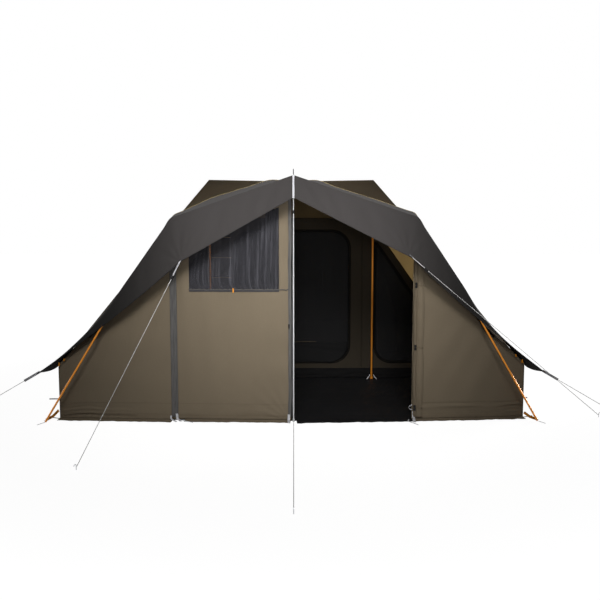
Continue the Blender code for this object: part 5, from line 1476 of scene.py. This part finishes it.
EAVE_LOOPS = {LEFT: [(2.227, 0.590, 0.013), (2.277, 0.545, 0.018)],
              RIGHT: [(2.199, 0.624, 0.013), (2.263, 0.566, 0.018)]}
EAVE_STRIP = 0.04
FOOT_WEBBING_LIFTS = {LEFT: (0.085, 0.040, 0.022), RIGHT: (0.050, 0.022, 0.016)}
for side, word in WORDS.items():
    corner_foot, arch_foot = foot(("corner", side)), np.array([side * FOOT_HALF, arch_depth, 0])
    run = unit(arch_foot - corner_foot)
    start, end = corner_foot + run * 0.0032, arch_foot - run * (TUBE_RADIUS + 0.002)
    middle = (start + end) / 2
    to_front = np.cross(run, [0, 0, 1.0]) * side
    tilted = np.cross(unit(np.array([0, 0, 1.0]) + 0.8 * to_front), run)
    high, half_way, low = FOOT_WEBBING_LIFTS[side]
    strap_spots = [start + run * 0.012 + [0, 0, high], middle + [0, 0, half_way], end + [0, 0, low]]
    loop(f"foot_webbing_{word}", strap_spots, tilted, 0.028, orange_webbing,
         [f"foot_strap_{word}"])
    wall_x = side * abs(corner_foot[0])
    loop(f"corner_loop_{word}", [(wall_x + side * 0.004, front_line + 0.014, 0.197),
                                 (side * (2.36 - 0.03 * side), front_line + 0.02, 0.195)], [0, 0, 1], 0.012)
    ground_spots = [(wall_x + side * 0.006, front_line + 0.004, 0.004),
                    (wall_x + side * 0.05, front_line + 0.03, 0.0016),
                    (wall_x + side * 0.11, front_line + 0.065, 0.0016)]
    loop(f"ground_loop_{word}", ground_spots, [0.5 * side, -1, 0], 0.016, black_tape)
    lying(f"foot_peg_{word}", (side * 2.388, arch_depth - 0.016), (side * 2.425, arch_depth - 0.10))
    line = between_points(CORNERS["corner", side], CORNERS["eave", side], np.linspace(0, 1, 41)[:, None])
    line = line[np.abs(line[:, 0]) > 1.97] - [0, 0.003, 0]
    height = np.interp(np.abs(line[:, 0]), [1.97, 2.08, 2.15, 2.29], [0.02, 0.046, 0.046, 0.026])
    lift = height[:, None] * [0, 0, 1.0]
    strap(f"eave_strip_{word}", line + lift / 2, lift / EAVE_STRIP, EAVE_STRIP, cotton)
    for number, (x, height, half_length) in enumerate(EAVE_LOOPS[side]):
        loop(f"eave_loop_{word}_{number + 1}",
             [(side * x, front_line - 0.012, height - half_length),
              (side * (x - 0.010), front_line - 0.016, height + half_length)],
             [1, 0, 0.3 * side], 0.015, orange_webbing)
    pole_foot = np.mean(box(f"main_pole_lower_{word}"), axis=0) * [1, 1, 0]
    for way in (-1, 1):
        loop(f"pole_loop_{word}_{'inner' if way * side < 0 else 'outer'}",
             [pole_foot + [way * 0.020, -0.008, 0.058], pole_foot + [way * 0.040, -0.020, 0.030],
              pole_foot + [way * 0.062, -0.030, FLOOR_TOP + 0.003]], [0.3 * way, 0.9, 0.3], 0.018)

DOOR_LOOPS = {
    "post_loop_left": ([1, 0, 0], 0.024, (-1.127, -0.067, 0.067), (-1.120, -0.079, 0.024),
                       (-1.074, -0.147, 0.011)),
    "post_loop_left_outer": ([0.9, 0, 0.3], 0.018, (-1.182, -0.067, 0.048), (-1.181, -0.087, 0.022),
                             (-1.115, -0.161, 0.011)),
    "door_foot_loop": ([1, 0, 0], 0.024, (-0.034, -0.134, 0.072), (-0.034, -0.138, 0.020),
                       (-0.034, -0.222, 0.011)),
    "post_loop_right": ([1, 0, 0], 0.027, (1.185, -0.067, 0.086), (1.184, -0.079, 0.026),
                        (1.174, -0.201, 0.011)),
    "post_loop_right_inner": ([0, 0.3, 1], 0.009, (1.172, -0.065, 0.147), (1.136, -0.071, 0.133),
                              (1.144, -0.071, 0.107), (1.173, -0.065, 0.099)),
}
for name, (across, width, *spots) in DOOR_LOOPS.items():
    loop(name, [(x, front_line + ahead, height) for x, ahead, height in spots], across, width)
lying("post_peg_left", (-1.122, front_line - 0.089), (-0.949, front_line - 0.212), 0.0145)
lying("post_peg_right", (1.118, front_line - 0.200), (1.190, front_line - 0.319), 0.0145)
TAB_X = -0.563
tab_levels = np.linspace(window_sill - 0.026, window_sill + 0.016, 8)
strap("window_tab", on_door(door_share(TAB_X), tab_levels, 0.0085), -door_along, 0.013, orange_webbing,
      "door_leaf", columns=5)
refinish("door_zip_slider", black_plastic)

# Studio: a pale floor with the tent's soft shadow, two softboxes in front that light the middle of the tent
# most, and weaker lamps at the sides and behind, whose light comes through the roof cloth. What the camera
# sees past the tent is white, by light path; the tent itself gets only a low even light from there.

AMBIENT, FLOOR_ALBEDO, FLOOR_NEAR_GLOW = 0.09, 0.22, 0.94
FLOOR_HALF, FLOOR_UNDER, NEAR, FAR = 60.0, -0.0006, 3.5, 7.5


def seen_rays(wire):
    """One for rays that carry what the camera, a gloss or a clear surface shows, nought for the light itself,
    which is scattered and so comes by diffuse rays, also where it passes through cloth."""
    rays = wire.node("LightPath", output="Is Camera Ray")
    gloss = wire.node("LightPath", output="Is Glossy Ray")
    clear = wire.node("LightPath", output="Is Transmission Ray")
    scattered = wire.node("LightPath", output="Is Diffuse Ray")
    return rays.math("MAXIMUM", rays, gloss.math("MAXIMUM", gloss, clear)) * (1 - scattered)


square = np.array([(-1, -1, 0), (1, -1, 0), (1, 1, 0), (-1, 1, 0)]) * FLOOR_HALF + [0, 0, FLOOR_UNDER]
floor = new_mesh("studio_floor", square, np.array([[0, 1, 2, 3]]))
pale, shader, wire = new_material("pale floor")
place = wire.place()
away = place.node("VectorMath", {"operation": "LENGTH"}, {0: place}, "Value")
glow = away.rise(NEAR, FAR, FLOOR_NEAR_GLOW, 1.05) * seen_rays(wire)
feed(shader, Base_Color=(FLOOR_ALBEDO, FLOOR_ALBEDO, FLOOR_ALBEDO), Roughness=0.9, Specular_IOR_Level=0.0,
     Emission_Color=glow.node("CombineXYZ", None, {0: glow, 1: glow, 2: glow}), Emission_Strength=1.0)
floor.data.materials.append(pale)

world = bpy.data.worlds.new("studio")
bpy.context.scene.world = world
world.use_nodes = True
air = world.node_tree.nodes["Background"]
air.inputs["Color"].default_value = (1, 1, 1, 1)
strength = seen_rays(Wire(world.node_tree)).rise(0, 1, AMBIENT, 1.0)
world.node_tree.links.new(strength.socket, air.inputs["Strength"])


def softbox(name, spot, aim, size, power, spread):
    """A rectangular lamp at a spot, turned to its aim."""
    lamp = bpy.data.lights.new(name, "AREA")
    lamp.shape, lamp.size, lamp.size_y = "RECTANGLE", *size
    lamp.energy, lamp.spread = power, math.radians(spread)
    made = bpy.data.objects.new(name, lamp)
    bpy.context.scene.collection.objects.link(made)
    made.location = spot
    made.rotation_euler = Vector(np.subtract(aim, spot)).to_track_quat("-Z", "Y").to_euler()


softbox("front_softbox", (0, -7.5, 5.0), (-0.10, -1.9, 1.8), (3.0, 2.4), 36, 42)
softbox("low_softbox", (0.3, -8.2, 1.7), (0.2, -1.9, 1.5), (1.6, 1.2), 8.5, 38)
softbox("right_lamp", (7.5, 2.4, 1.0), (0.8, -0.6, 1.3), (2.4, 2.0), 230, 120)
softbox("left_lamp", (-7.5, 2.4, 1.0), (-0.8, -0.6, 1.3), (2.4, 2.0), 40, 120)
softbox("rear_lamp", (0, 9.5, 1.2), (0, 1.0, 1.0), (3.0, 1.6), 45, 120)

camera = bpy.data.cameras.new("photograph_view")
camera.sensor_width, camera.lens = 36.0, 36.0 * 682 / 600
camera_object = bpy.data.objects.new("photograph_view", camera)
bpy.context.scene.collection.objects.link(camera_object)
camera_object.location = (0, front_line - 6.6, 1.784)
camera_object.rotation_euler = (math.radians(90 - 5.3), 0, math.radians(-0.655))
bpy.context.scene.camera = camera_object
bpy.context.scene.view_settings.view_transform = "Standard"
